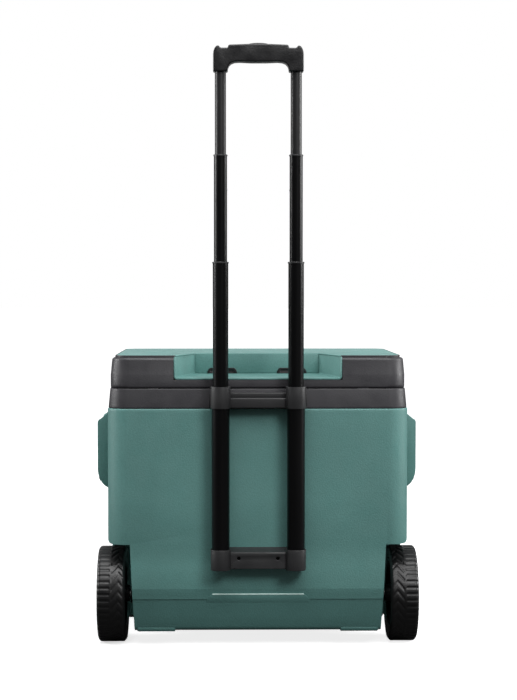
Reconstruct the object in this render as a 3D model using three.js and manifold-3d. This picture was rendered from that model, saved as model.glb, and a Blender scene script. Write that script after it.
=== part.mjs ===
// A rolling ice chest: an insulated tub on two wheels with a hinged lid, two rubber latches,
// two swing-up carry handles, a drain, and a pull handle of three telescoping stages.
// Millimetres, +Z up. The latches face -Y and the pull handle faces +Y. The origin is on the
// floor, under the middle of the overall box.
import * as THREE from "three";
import { mergeVertices } from "three/addons/utils/BufferGeometryUtils.js";
import Module from "manifold-3d";

const wasm = await Module();
wasm.setup();

// ---- Driving dimensions -------------------------------------------------------------------
const GAP = 0.3; // between pieces that touch
const REAR = 192; // outer face of the tub's back wall
const FRONT = -223; // outer face of the tub's front wall
const MID = (REAR + FRONT) / 2;
const TUB_HALF_WIDTH = 273;
const TUB_HALF_DEPTH = (REAR - FRONT) / 2;
const TUB_CORNER = 38;
const TUB_BOTTOM = 29;
const TUB_TOP = 436;
const SHELL_WALL = 3.5;
const LINER_WALL = 2.5;
const LINER_INSET = 32; // from the shell's outside to the liner's outside

const RIM_TOP = 472;
const RIM_INSET_LOW = 1.5; // the rim's outline inside the tub's, at its foot and at its top
const RIM_INSET_HIGH = 5;
const RIM_WALL = 3;
const RIM_LEDGE = 24; // how far in its top plate reaches

const LID_TOP = 532;
const LID_INSET_LOW = 5;
const LID_INSET_HIGH = 8;
const LID_CORNER = 36;
const LID_WALL = 3;
const PLUG_DROP = 11; // how far the lid's underside reaches into the tub

const HINGE_R = 6; // the lid's lower back edge is round about the hinge line
const HINGE_Y = REAR - LID_INSET_LOW - HINGE_R;
const HINGE_Z = RIM_TOP + GAP + HINGE_R;
const HINGE_PIN_R = 2;
const HINGE_X = 190; // middle of each hinge
const HINGE_BLOCK = 18;
const HINGE_FOOT = 2; // how far its foot reaches behind the hinge line

const NOTCH_FLOOR_REAR = 491; // bay in the lid's back edge, where the grip is stowed
const NOTCH_FLOOR_FRONT = 494.3;
const NOTCH_DEPTH = 125;
const NOTCH_HALF_REAR = 151;
const NOTCH_HALF_FRONT = 116;
const INSERT_WALL = 3;
const OUTLET = { x: 65, half: 28, high: 10.5, proud: 4 }; // spouts at the bay's inner wall
const REVEAL = { inset: 13.6, corner: 28.5, low: 527.5 }; // the step round the lid's top
const PANEL = { inset: 15.5, corner: 27, thick: 2.5 }; // the coloured panel on the lid
const LID_DECK = 6; // from the lid's top to the underside of its deck


const WHEEL_R = 88;
const WHEEL_OUT = 292.5; // outer face of the tyre
const WHEEL_IN = 240;
const AXLE_Y = REAR - WHEEL_R;
const AXLE_Z = WHEEL_R;
const AXLE_R = 6;
const WELL_TOP = 190;
const WELL_R = WELL_TOP - AXLE_Z;

const KICK_TOP = 110; // the back wall leans in below this height, and more below KICK_STEP
const KICK_STEP = 90.5;
const KICK_STEP_IN = 5;
const KICK_LOW_IN = 27;

// The outer form, and the one that the liner is drawn in from: where they end below, how far
// out the wells' side walls stand at their top and at the bottom, and how the back wall leans.
const OUTER_FORM = { bottom: TUB_BOTTOM, wallTop: 231.5, wallLow: 224.5, step: KICK_STEP,
  lowIn: KICK_LOW_IN };
const LINER_FORM = { bottom: 37, wallTop: 229, wallLow: 222, step: 92, lowIn: 24 };

const POLE_X = 67.4;
const POLE_Y = REAR + 28;
const TUBE_WALL = 1.3;
const TUBE_R = { outer: 16, lower: 13.9, middle: 11.75, upper: 9.95 };
const COLLAR_HALF = 18;
const UPPER_BRACKET = { low: 438.5, high: 477.3, plateHigh: 466 };
const LOWER_BRACKET = { low: 148.6, high: 186, floor: 155 };
const TUBE_TOP = { outer: 474, lower: 699.8, middle: 890.3, upper: 1061 };
const TUBE_LOW = { outer: 155.3, lower: 399.8, middle: 628.3, upper: 815 };
const GLIDE = { below: 18, above: 10 };

const GRIP = { half: 80.4, low: 1037, high: 1082.5, thick: 30, legIn: 54.3, under: 1054 };
const BUTTON_TOP = 1088;

const HANDLE_PIVOT_X = 287;
const HANDLE_PIVOT_Z = 398;
const HANDLE_REACH = 71; // half the carry handle's length along the tub
const CHEEK = { top: 425, shoulder: 403, knee: 316, foot: 280, out: 298, thick: 10 };

const LATCH_X = 120;
const LATCH_PIN_Y = FRONT - 8;
const LATCH_PIN_Z = 494;

const DRAIN_Y = -150;
const DRAIN_Z = 86;

// ---- Materials ----------------------------------------------------------------------------
const paint = (hex, roughness, metalness = 0) =>
  new THREE.MeshStandardMaterial({ color: hex, roughness, metalness });
const GREEN = paint(0x587b77, 0.6);
const CHARCOAL = paint(0x3a3a3e, 0.55);
const WHITE = paint(0xe6e8e6, 0.4);
const FOAM = paint(0xd9cf9a, 0.9);
const BLACK = paint(0x1c1c1e, 0.45);
const TUBE_BLACK = paint(0x17181a, 0.35, 0.6);
const RUBBER = paint(0x1b1b1c, 0.8);
const STEEL = paint(0xb5b7ba, 0.3, 1);

// ---- Geometry helpers ---------------------------------------------------------------------
// A closed three.js geometry as a manifold-3d solid.
function solid(geometry) {
  const bare = geometry.clone();
  bare.deleteAttribute("normal");
  bare.deleteAttribute("uv");
  const merged = mergeVertices(bare, 1e-4);
  return new wasm.Manifold(
    new wasm.Mesh({
      numProp: 3,
      vertProperties: new Float32Array(merged.attributes.position.array),
      triVerts: new Uint32Array(merged.index.array),
    }),
  );
}

function geometryOf(shape) {
  const mesh = shape.getMesh();
  const geometry = new THREE.BufferGeometry();
  geometry.setAttribute("position", new THREE.BufferAttribute(mesh.vertProperties, 3));
  geometry.setIndex(new THREE.BufferAttribute(mesh.triVerts, 1));
  geometry.computeVertexNormals();
  return geometry;
}

const join = (first, ...rest) => rest.reduce((sum, next) => sum.add(next), first);
const cut = (first, ...rest) => rest.reduce((left, next) => left.subtract(next), first);

function box([x0, x1], [y0, y1], [z0, z1]) {
  const geometry = new THREE.BoxGeometry(x1 - x0, y1 - y0, z1 - z0);
  return solid(geometry.translate((x0 + x1) / 2, (y0 + y1) / 2, (z0 + z1) / 2));
}

// A rod of radius r along an axis ("x", "y" or "z"), from a to b, at the other two coordinates.
function rod(axis, r, [a, b], [u, v], steps = 20) {
  const geometry = new THREE.CylinderGeometry(r, r, b - a, steps);
  const mid = (a + b) / 2;
  if (axis === "x") return solid(geometry.rotateZ(Math.PI / 2).translate(mid, u, v));
  if (axis === "y") return solid(geometry.translate(u, mid, v));
  return solid(geometry.rotateX(Math.PI / 2).translate(u, v, mid));
}

// An outline of [a, b] points pushed along an axis. Along x the outline is in (y, z), along y
// it is in (x, z), and along z it is in (x, y).
function prism(axis, outline, [low, high]) {
  const shape = outline instanceof THREE.Shape
    ? outline
    : new THREE.Shape(outline.map(([a, b]) => new THREE.Vector2(a, b)));
  const geometry = new THREE.ExtrudeGeometry(shape, {
    depth: high - low,
    bevelEnabled: false,
    curveSegments: 5,
  });
  if (axis === "z") return solid(geometry.translate(0, 0, low));
  if (axis === "y") return solid(geometry.translate(0, 0, -high).rotateX(Math.PI / 2));
  geometry.translate(0, 0, low);
  return solid(geometry.rotateX(Math.PI / 2).rotateZ(Math.PI / 2));
}

// A round body from a closed [radius, along] profile, turned about an axis.
function turned(axis, profile, [u, v], steps = 24) {
  const points = profile.map(([r, along]) => new THREE.Vector2(r, along));
  const geometry = new THREE.LatheGeometry(points, steps);
  if (axis === "x") geometry.rotateZ(-Math.PI / 2).translate(0, u, v);
  if (axis === "y") geometry.translate(u, 0, v);
  if (axis === "z") geometry.rotateX(Math.PI / 2).translate(u, v, 0);
  return solid(geometry);
}

// One outline of a rounded rectangle centred on the tub, at a height.
function ring(z, halfX, halfY, radius, steps = 5) {
  const points = [];
  const corners = [[1, 1], [-1, 1], [-1, -1], [1, -1]];
  corners.forEach(([sideX, sideY], quarter) => {
    for (let k = 0; k <= steps; k++) {
      const angle = ((quarter + k / steps) * Math.PI) / 2;
      points.push([
        sideX * (halfX - radius) + radius * Math.cos(angle),
        MID + sideY * (halfY - radius) + radius * Math.sin(angle),
        z,
      ]);
    }
  });
  return points;
}

// A closed body through a stack of such outlines, from the lowest to the highest.
function loft(rings) {
  const count = rings[0].length;
  const index = [];
  for (let level = 0; level + 1 < rings.length; level++) {
    for (let i = 0; i < count; i++) {
      const a = level * count + i;
      const b = level * count + ((i + 1) % count);
      index.push(a, b, b + count, a, b + count, a + count);
    }
  }
  const top = (rings.length - 1) * count;
  for (let i = 1; i + 1 < count; i++) {
    index.push(0, i + 1, i, top, top + i, top + i + 1);
  }
  const geometry = new THREE.BufferGeometry();
  const positions = new Float32Array(rings.flat(2));
  geometry.setAttribute("position", new THREE.BufferAttribute(positions, 3));
  geometry.setIndex(index);
  return solid(geometry);
}

// An outline inside the tub's by a distance, at a height.
const insetRing = (z, inset, corner = TUB_CORNER) =>
  ring(z, TUB_HALF_WIDTH - inset, TUB_HALF_DEPTH - inset, Math.max(corner - inset, 6));

const group = new THREE.Group();
function add(name, shape, material) {
  const mesh = new THREE.Mesh(geometryOf(shape), material);
  mesh.name = name;
  group.add(mesh);
}
const SIDES = [["left", 1], ["right", -1]]; // as seen from behind the pull handle

// A body mirrored to the other side of the object.
const toSide = (shape, side) => (side > 0 ? shape : shape.mirror([1, 0, 0]));

// ---- Tub ----------------------------------------------------------------------------------
// The space that one wheel takes out of the tub, grown by a margin.
function wheelWell(margin, form) {
  const reach = WELL_R + margin;
  const shape = new THREE.Shape();
  shape.moveTo(REAR + 20, 0);
  shape.lineTo(REAR + 20, WELL_TOP + margin);
  shape.lineTo(AXLE_Y, WELL_TOP + margin);
  shape.absarc(AXLE_Y, AXLE_Z, reach, Math.PI / 2, Math.PI, false);
  shape.lineTo(AXLE_Y - reach, 0);
  shape.closePath();
  const wide = prism("x", shape, [form.wallLow - margin - 20, 330]);
  const slope = (form.wallTop - form.wallLow) / (WELL_TOP - form.bottom);
  const wallAt = (z) => form.wallLow - margin + slope * (z - form.bottom);
  const beyond = WELL_TOP + margin + 10;
  const keep = [[wallAt(0), 0], [330, 0], [330, beyond], [wallAt(beyond), beyond]];
  return wide.intersect(prism("y", keep, [FRONT, REAR + 30]));
}

// The region behind the leaning lower back wall, grown by a margin.
function kickSpace(margin, form) {
  const leanPerMm = (form.lowIn - KICK_STEP_IN) / (form.step - form.bottom);
  const footIn = KICK_STEP_IN + leanPerMm * form.step;
  const outline = [
    [REAR - margin, KICK_TOP],
    [REAR - KICK_STEP_IN - margin, form.step],
    [REAR - footIn - margin, 0],
    [REAR + 60, 0],
    [REAR + 60, KICK_TOP],
  ];
  return prism("x", outline, [-300, 300]);
}

const TUB_FOOT = [[0, 8], [2.5, 2.5], [8, 0]]; // [height, inset] of the rounded bottom edge

// The tub's form, drawn in by an inset on every side, up to a height.
function tubForm(inset, top, form = OUTER_FORM) {
  const bottom = form.bottom + inset;
  const rings = TUB_FOOT.map(([up, pull]) => insetRing(bottom + up, inset + pull));
  const block = loft([...rings, insetRing(top, inset)]);
  const well = wheelWell(inset, form);
  return cut(block, well, toSide(well, -1), kickSpace(inset, form));
}

// The pocket behind each carry handle's bar, for fingers.
const fingerPocket = (margin) =>
  box(
    [TUB_HALF_WIDTH - 14 - margin, TUB_HALF_WIDTH + 5],
    [MID - 50 - margin, MID + 50 + margin],
    [284 - margin, 340 + margin],
  );

// The ribs that the carry handle swings between.
function handleCheeks() {
  const shape = new THREE.Shape();
  const inner = TUB_HALF_WIDTH - 2;
  shape.moveTo(inner, CHEEK.top);
  shape.lineTo(CHEEK.out - 3, CHEEK.shoulder + 2.5);
  shape.quadraticCurveTo(CHEEK.out, CHEEK.shoulder, CHEEK.out, CHEEK.shoulder - 5);
  shape.lineTo(CHEEK.out, CHEEK.knee);
  shape.quadraticCurveTo(CHEEK.out - 4, CHEEK.foot + 12, inner, CHEEK.foot);
  shape.closePath();
  const near = HANDLE_REACH + 1.5;
  const ribs = [[MID + near, MID + near + CHEEK.thick], [MID - near - CHEEK.thick, MID - near]];
  const socket = rod("y", 5.5, [MID - near - 8, MID + near + 8], [HANDLE_PIVOT_X, HANDLE_PIVOT_Z]);
  return join(...ribs.map((span) => prism("y", shape, span))).subtract(socket);
}

// A raised pad in the middle of the lower back wall, with a narrow ledge on top.
function kickPad() {
  const outline = [[-94, 89], [-92.5, KICK_STEP], [-81, 101.5], [81, 101.5], [92.5, KICK_STEP],
    [94, 89]];
  const block = prism("y", outline, [REAR - 40, REAR + 5]);
  const section = [[REAR - 8, 88], [REAR - KICK_STEP_IN - 1.4, 88], [REAR - 1, 101.5],
    [REAR - 5, 101.5]];
  return block.intersect(prism("x", section, [-100, 100]));
}

// The runners under the back of the tub, between the wheels.
const RUNNER = { inner: 150, outer: 221, low: 27.5 };
function runner() {
  const section = [[REAR - 90, RUNNER.low], [REAR - KICK_LOW_IN, RUNNER.low],
    [REAR - KICK_LOW_IN - 0.4, TUB_BOTTOM + 3],
    [REAR - 90, TUB_BOTTOM + 3]];
  const bar = prism("x", section, [RUNNER.inner, RUNNER.outer]);
  return cut(bar, tubForm(SHELL_WALL, TUB_TOP));
}

const LOWER_SCREW = { x: 35, z: 169.4, r: 2.2 };
const lowerScrewHoles = (r) =>
  SIDES.map(([, side]) =>
    rod("y", r, [REAR - 24, REAR + 10], [side * LOWER_SCREW.x, LOWER_SCREW.z], 12));

function outerShell() {
  const bracketPocket = box([-89, 89], [REAR - 2, REAR + 5], [146, 190]);
  let shell = cut(tubForm(0, TUB_TOP), bracketPocket);
  const pockets = SIDES.map(([, side]) => toSide(fingerPocket(0), side));
  const innerPockets = SIDES.map(([, side]) => toSide(fingerPocket(SHELL_WALL), side));
  const inside = cut(tubForm(SHELL_WALL, TUB_TOP + 10), ...innerPockets);
  shell = cut(join(shell, kickPad()), ...pockets, inside);
  shell = join(shell, ...SIDES.map(([, side]) => toSide(runner(), side)));
  for (const [, side] of SIDES) {
    const boss = rod("x", 24, [216, 231], [AXLE_Y, AXLE_Z]);
    const bore = rod("x", 14.4, [200, 240], [AXLE_Y, AXLE_Z]);
    shell = shell.add(toSide(boss, side)).subtract(toSide(bore, side));
    shell = shell.add(toSide(handleCheeks(), side));
  }
  const drainBore = rod("x", 12.4, [255, 290], [DRAIN_Y, DRAIN_Z]);
  return cut(shell, drainBore, ...lowerScrewHoles(2.6));
}

function innerLiner() {
  const flangeTop = RIM_TOP;
  const flange = loft([
    insetRing(flangeTop - RIM_WALL, RIM_LEDGE + GAP),
    insetRing(flangeTop, RIM_LEDGE + GAP),
  ]);
  const body = tubForm(LINER_INSET, flangeTop - 1, LINER_FORM).add(flange);
  const cavity = tubForm(LINER_INSET + LINER_WALL, flangeTop + 10, LINER_FORM);
  const drainBore = rod("x", 12.4, [225, 260], [DRAIN_Y, DRAIN_Z]);
  return cut(body, cavity, drainBore);
}

const RAIL_DEPTH = 26; // solid strip of the rim that the hinge turns in
function insulationFoam() {
  const outside = join(
    cut(
      tubForm(SHELL_WALL + GAP, TUB_TOP - GAP),
      ...SIDES.map(([, side]) => toSide(fingerPocket(SHELL_WALL + GAP), side)),
      ...SIDES.map(([, side]) => toSide(rod("x", 24.4, [215.6, 240], [AXLE_Y, AXLE_Z]), side)),
      ...SIDES.map(([, side]) => toSide(rod("x", 14.4, [195, 240], [AXLE_Y, AXLE_Z]), side)),
    ),
    cut(
      loft([insetRing(TUB_TOP - 1, 9), insetRing(RIM_TOP - RIM_WALL - GAP, 9)]),
      box([-300, 300], [REAR - RAIL_DEPTH - GAP, REAR + 5], [TUB_TOP - GAP, RIM_TOP]),
    ),
  );
  const inside = tubForm(LINER_INSET - GAP, RIM_TOP, LINER_FORM);
  const drainBore = rod("x", 12.4, [225, 290], [DRAIN_Y, DRAIN_Z]);
  return cut(outside, inside, drainBore, ...lowerScrewHoles(2.6));
}

function rimCollar() {
  const low = TUB_TOP + GAP;
  const outside = loft([insetRing(low, RIM_INSET_LOW), insetRing(RIM_TOP, RIM_INSET_HIGH)]);
  const hollow = loft([
    insetRing(low - 5, RIM_INSET_LOW + RIM_WALL),
    insetRing(RIM_TOP - RIM_WALL, RIM_INSET_HIGH + RIM_WALL),
  ]);
  const mouth = loft([insetRing(low - 5, RIM_LEDGE), insetRing(RIM_TOP + 5, RIM_LEDGE)]);
  const rail = box([-300, 300], [REAR - RAIL_DEPTH, REAR], [low, RIM_TOP]);
  const solidRail = cut(outside.intersect(rail), mouth);
  const seats = SIDES.map(([, side]) =>
    box(
      [side * HINGE_X - HINGE_BLOCK / 2 - GAP, side * HINGE_X + HINGE_BLOCK / 2 + GAP],
      [HINGE_Y - HINGE_R - GAP, HINGE_Y + HINGE_FOOT + GAP],
      [454 - GAP, RIM_TOP + 5],
    ));
  return cut(join(cut(outside, hollow, mouth), solidRail), ...seats);
}

function hingeBlock(side) {
  const span = [side * HINGE_X - HINGE_BLOCK / 2, side * HINGE_X + HINGE_BLOCK / 2];
  const foot = box(span, [HINGE_Y - HINGE_R, HINGE_Y + HINGE_FOOT], [454, HINGE_Z]);
  const knuckle = rod("x", HINGE_R, span, [HINGE_Y, HINGE_Z], 24);
  return join(foot, knuckle).subtract(
    rod("x", HINGE_PIN_R + GAP, [-300, 300], [HINGE_Y, HINGE_Z], 16),
  );
}

add("outer_shell", outerShell(), GREEN);
add("insulation_foam", insulationFoam(), FOAM);
add("inner_liner", innerLiner(), WHITE);
add("rim_collar", rimCollar(), CHARCOAL);
const HINGE_PIN_HALF = HINGE_BLOCK / 2 + 16;
for (const [name, side] of SIDES) {
  add(`hinge_block_${name}`, hingeBlock(side), CHARCOAL);
  const span = [side * HINGE_X - HINGE_PIN_HALF, side * HINGE_X + HINGE_PIN_HALF];
  add(`hinge_pin_${name}`, rod("x", HINGE_PIN_R, span, [HINGE_Y, HINGE_Z], 16), STEEL);
}

// ---- Lid ----------------------------------------------------------------------------------
const LID_EDGE = [[6, 0], [3, 0.9], [1, 2.9], [0, 6]]; // [below the top, inset] of its top edge
const LID_LOW = RIM_TOP + GAP;

// The lid's outer form, drawn in by an inset, with its foot at a height.
function lidForm(inset, low) {
  const taper = (LID_INSET_HIGH - LID_INSET_LOW) / (LID_TOP - 6 - LID_LOW);
  const pull = (z) => LID_INSET_LOW + taper * (Math.min(z, LID_TOP - 6) - LID_LOW) + inset;
  const level = (z, further) => {
    const total = pull(z) + further;
    const corner = LID_CORNER - inset - further;
    return ring(z - (further > 0 || z > low ? inset : 0), TUB_HALF_WIDTH - total,
      TUB_HALF_DEPTH - total, corner);
  };
  return loft([level(low, 0), ...LID_EDGE.map(([below, round]) => level(LID_TOP - below, round))]);
}

// The bay in the lid's back edge, grown by a margin into the lid.
function notch(margin) {
  const back = REAR + 20;
  const deep = REAR - NOTCH_DEPTH - margin;
  const flare = (NOTCH_HALF_REAR - NOTCH_HALF_FRONT) / NOTCH_DEPTH;
  const halfBack = NOTCH_HALF_REAR + margin + flare * 20;
  const halfDeep = NOTCH_HALF_FRONT + margin * (1 - flare);
  const plan = [[-halfBack, back], [-halfDeep, deep], [halfDeep, deep], [halfBack, back]];
  const floor = (NOTCH_FLOOR_FRONT - NOTCH_FLOOR_REAR) / NOTCH_DEPTH;
  const side = [
    [back, NOTCH_FLOOR_REAR - floor * 20 - margin],
    [deep, NOTCH_FLOOR_FRONT - margin],
    [deep, LID_TOP + 30],
    [back, LID_TOP + 30],
  ];
  return prism("z", plan, [480, LID_TOP + 20]).intersect(prism("x", side, [-200, 200]));
}

function outletForm(margin, [back, front]) {
  const wide = OUTLET.half + margin;
  const low = NOTCH_FLOOR_FRONT + GAP - margin;
  const high = NOTCH_FLOOR_FRONT + OUTLET.high + margin;
  const outline = [[-wide, low], [wide, low], [wide - 1, high - 4], [wide - 7, high],
    [7 - wide, high], [1 - wide, high - 4]];
  return prism("y", outline, [back, front]);
}
const OUTLET_BACK = REAR - NOTCH_DEPTH - INSERT_WALL;
const outletHoles = (margin) =>
  SIDES.map(([, side]) =>
    outletForm(margin, [OUTLET_BACK - 12 - margin, OUTLET_BACK + 10])
      .translate([side * OUTLET.x, 0, 0]));
const lidOutlet = (side) =>
  outletForm(0, [OUTLET_BACK - 12, REAR - NOTCH_DEPTH + OUTLET.proud])
    .translate([side * OUTLET.x, 0, 0]);

// The panel's seat in the lid's top, grown by a margin.
function panelSpace(margin) {
  const half = [TUB_HALF_WIDTH - PANEL.inset + margin, TUB_HALF_DEPTH - PANEL.inset + margin];
  const corner = PANEL.corner + margin;
  return loft([
    ring(LID_TOP - PANEL.thick - margin, ...half, corner),
    ring(LID_TOP + 20, ...half, corner),
  ]);
}

const hingeGaps = (extra) =>
  SIDES.map(([, side]) =>
    box(
      [
        side * HINGE_X - HINGE_BLOCK / 2 - extra,
        side * HINGE_X + HINGE_BLOCK / 2 + extra,
      ],
      [HINGE_Y - HINGE_R - 2, REAR + 5],
      [LID_LOW - 5, HINGE_Z + HINGE_R + 1],
    ));

// The step round the lid's top: the skirt's edge is lower than the border of the panel.
function topStep() {
  const border = loft([REVEAL.low - 5, LID_TOP + 20].map((z) =>
    ring(z, TUB_HALF_WIDTH - REVEAL.inset, TUB_HALF_DEPTH - REVEAL.inset, REVEAL.corner)));
  return cut(box([-300, 300], [FRONT - 20, REAR + 20], [REVEAL.low, LID_TOP + 10]), border);
}

function latchEars(side) {
  const ears = [-20, 20].map((off) => {
    const span = [side * LATCH_X + off - 3, side * LATCH_X + off + 3];
    const arm = box(span, [LATCH_PIN_Y, FRONT + 8], [LATCH_PIN_Z - 7, LATCH_PIN_Z + 7]);
    return join(arm, rod("x", 7, span, [LATCH_PIN_Y, LATCH_PIN_Z], 20));
  });
  return join(...ears);
}

function lidShell() {
  const outside = lidForm(0, LID_LOW);
  const hollow = lidForm(LID_WALL, LID_LOW - 5);
  const deck = box([-300, 300], [FRONT - 20, REAR + 20], [LID_TOP - LID_DECK, LID_TOP]);
  let shell = cut(outside, cut(hollow, deck));
  // The hinge barrel runs along the back edge, and the wall under it is round about the hinge.
  const barrelSpace = rod("x", HINGE_R, [-300, 300], [HINGE_Y, HINGE_Z], 24);
  const outline = loft([
    ring(440, TUB_HALF_WIDTH - LID_INSET_LOW, TUB_HALF_DEPTH - LID_INSET_LOW, LID_CORNER),
    ring(500, TUB_HALF_WIDTH - LID_INSET_LOW, TUB_HALF_DEPTH - LID_INSET_LOW, LID_CORNER),
  ]);
  const under = box([-300, 300], [HINGE_Y, REAR + 5], [LID_LOW - 5, HINGE_Z]);
  const barrel = barrelSpace.intersect(outline);
  shell = join(cut(shell, under), barrel);
  shell = join(shell, ...SIDES.map(([, side]) => latchEars(side)));
  const pins = SIDES.map(([, side]) =>
    rod("x", HINGE_PIN_R + GAP, [side * HINGE_X - HINGE_PIN_HALF - 1,
      side * HINGE_X + HINGE_PIN_HALF + 1], [HINGE_Y, HINGE_Z], 16));
  const latchPins = rod("x", 2.8, [-200, 200], [LATCH_PIN_Y, LATCH_PIN_Z], 16);
  return cut(shell, ...hingeGaps(0.5), ...pins, latchPins, notch(INSERT_WALL + GAP),
    panelSpace(GAP), topStep());
}

function lidInsert() {
  const bay = cut(notch(INSERT_WALL).intersect(lidForm(0, LID_LOW)), notch(0));
  const panel = panelSpace(0).intersect(lidForm(0, LID_LOW));
  return cut(join(bay, panel), notch(0), topStep(), ...outletHoles(GAP));
}

const PLATE = 3;
function lidLiner() {
  const inset = LID_INSET_LOW + LID_WALL + GAP + 0.3;
  const plateRing = (z) =>
    ring(z, TUB_HALF_WIDTH - inset, TUB_HALF_DEPTH - inset, LID_CORNER - LID_WALL - GAP);
  const plate = loft([plateRing(LID_LOW), plateRing(LID_LOW + PLATE)]);
  const plugInset = LINER_INSET + LINER_WALL + 8;
  const plug = loft([
    insetRing(RIM_TOP - PLUG_DROP, plugInset + 4),
    insetRing(LID_LOW + 1, plugInset),
  ]);
  const hollow = loft([
    insetRing(RIM_TOP - PLUG_DROP + PLATE, plugInset + 4 + PLATE),
    insetRing(LID_LOW + PLATE + 5, plugInset + PLATE),
  ]);
  const hingeSpace = box([-300, 300], [HINGE_Y - HINGE_R - 1, REAR + 5], [440, 490]);
  return cut(join(plate, plug), hollow, hingeSpace);
}

function lidFoam() {
  const block = lidForm(LID_WALL + GAP, LID_LOW + PLATE + GAP);
  const plugInset = LINER_INSET + LINER_WALL + 8 + PLATE + GAP;
  const plug = loft([
    insetRing(RIM_TOP - PLUG_DROP + PLATE + GAP, plugInset + 5),
    insetRing(LID_LOW + PLATE + 1, plugInset + 1),
  ]);
  const hingeSpace = box([-300, 300], [HINGE_Y - HINGE_R - 2, REAR + 5], [440, 487]);
  return cut(
    join(block, plug),
    notch(INSERT_WALL + 2 * GAP),
    box([-300, 300], [FRONT, REAR + 5], [LID_TOP - LID_DECK - GAP, LID_TOP]),
    ...outletHoles(GAP),
    hingeSpace,
  );
}

add("lid_shell", lidShell(), CHARCOAL);
add("lid_insert", lidInsert(), GREEN);
add("lid_liner", lidLiner(), WHITE);
add("lid_foam", lidFoam(), FOAM);
for (const [name, side] of SIDES) add(`lid_outlet_${name}`, lidOutlet(side), BLACK);

// ---- Latches ------------------------------------------------------------------------------
const LATCH = { half: 14, thick: 7, foot: 440, pullHalf: 21 };
const NUB = { half: 8, low: 449, high: 458, proud: 2.5 }; // the nub stands in the latch's channel
const LATCH_BACK = LATCH_PIN_Y + LATCH.thick / 2;
const LATCH_FACE = LATCH_PIN_Y - LATCH.thick / 2;
function latch(side) {
  const x = side * LATCH_X;
  const eye = rod("x", 6.5, [x - LATCH.half, x + LATCH.half], [LATCH_PIN_Y, LATCH_PIN_Z]);
  const strap = box([x - LATCH.half, x + LATCH.half], [LATCH_FACE, LATCH_BACK],
    [LATCH.foot, LATCH_PIN_Z]);
  const pull = box([x - LATCH.pullHalf, x + LATCH.pullHalf], [LATCH_FACE - 3, LATCH_FACE + 2],
    [LATCH.foot - 4, LATCH.foot + 10]);
  const bore = rod("x", 2.8, [x - 30, x + 30], [LATCH_PIN_Y, LATCH_PIN_Z], 16);
  const channel = box([x - NUB.half - 2, x + NUB.half + 2], [LATCH_BACK - 3.2, LATCH_BACK + 5],
    [LATCH.foot - 10, NUB.high + 7]);
  return cut(join(eye, strap, pull), bore, channel);
}

function latchKeeper(side) {
  const x = side * LATCH_X;
  const plateBack = FRONT + RIM_INSET_LOW - GAP;
  const plate = box([x - 24, x + 24], [plateBack - 3, plateBack], [441, 466]);
  const nub = box([x - NUB.half, x + NUB.half], [LATCH_BACK - NUB.proud, plateBack - 1],
    [NUB.low, NUB.high]);
  return join(plate, nub);
}

for (const [name, side] of SIDES) {
  const x = side * LATCH_X;
  add(`latch_${name}`, latch(side), RUBBER);
  add(`latch_keeper_${name}`, latchKeeper(side), CHARCOAL);
  const pin = rod("x", 2.5, [x - 23, x + 23], [LATCH_PIN_Y, LATCH_PIN_Z], 16);
  add(`latch_pin_${name}`, pin, STEEL);
}

// ---- Carry handles ------------------------------------------------------------------------
function carryHandle() {
  const [inner, outer] = [HANDLE_PIVOT_X - 9, HANDLE_PIVOT_X + 9];
  const arms = [1, -1].map((hand) => {
    const span = [MID + hand * HANDLE_REACH, MID + hand * (HANDLE_REACH - 15)];
    span.sort((a, b) => a - b);
    const end = rod("y", 9, span, [HANDLE_PIVOT_X, HANDLE_PIVOT_Z], 20);
    return join(box([inner, outer], span, [292, HANDLE_PIVOT_Z]), end);
  });
  const bar = rod("y", 11, [MID - HANDLE_REACH, MID + HANDLE_REACH], [HANDLE_PIVOT_X, 299], 20);
  const stub = HANDLE_REACH + 8;
  const pegs = rod("y", 5, [MID - stub, MID + stub], [HANDLE_PIVOT_X, HANDLE_PIVOT_Z], 20);
  const between = box([200, 330], [MID - HANDLE_REACH + 15, MID + HANDLE_REACH - 15], [380, 420]);
  return join(...arms, bar, cut(pegs, between));
}
for (const [name, side] of SIDES) add(`carry_handle_${name}`, toSide(carryHandle(), side), CHARCOAL);

// ---- Drain --------------------------------------------------------------------------------
add(
  "drain_fitting",
  cut(
    join(
      rod("x", 12, [237, 274], [DRAIN_Y, DRAIN_Z]),
      rod("x", 18, [TUB_HALF_WIDTH + GAP, 276.5], [DRAIN_Y, DRAIN_Z]),
    ),
    rod("x", 8, [230, 290], [DRAIN_Y, DRAIN_Z]),
  ),
  WHITE,
);
add(
  "drain_plug",
  join(
    rod("x", 16, [277, 288], [DRAIN_Y, DRAIN_Z]),
    rod("x", 7.5, [262, 278], [DRAIN_Y, DRAIN_Z]),
  ),
  CHARCOAL,
);

// ---- Feet and wheels ----------------------------------------------------------------------
function frontFoot(side) {
  const outline = [[206, TUB_BOTTOM - GAP], [211, 0], [254, 0], [258, TUB_BOTTOM - GAP]];
  const block = prism("y", outline, [FRONT + 26, FRONT + 93]);
  return toSide(block, side);
}

const TYRE_INNER = 66;
const tyreProfile = [
  [TYRE_INNER, WHEEL_IN + 3],
  [82, WHEEL_IN + 1],
  [86.6, WHEEL_IN + 3],
  [WHEEL_R, WHEEL_IN + 7],
  [WHEEL_R, WHEEL_OUT - 6.5],
  [86.8, WHEEL_OUT - 2.4],
  [83, WHEEL_OUT],
  [TYRE_INNER, WHEEL_OUT - 2],
];
const rimProfile = [
  [AXLE_R + 0.5, 236],
  [15, 236],
  [15, 258],
  [56, 260],
  [58, WHEEL_IN + 4],
  [TYRE_INNER - GAP, WHEEL_IN + 4],
  [TYRE_INNER - GAP, WHEEL_OUT - 3],
  [60, WHEEL_OUT - 3],
  [56, 268],
  [22, 270],
  [20, 282],
  [AXLE_R + 0.5, 282],
];
const closed = (profile) => [...profile, profile[0]];

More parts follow.
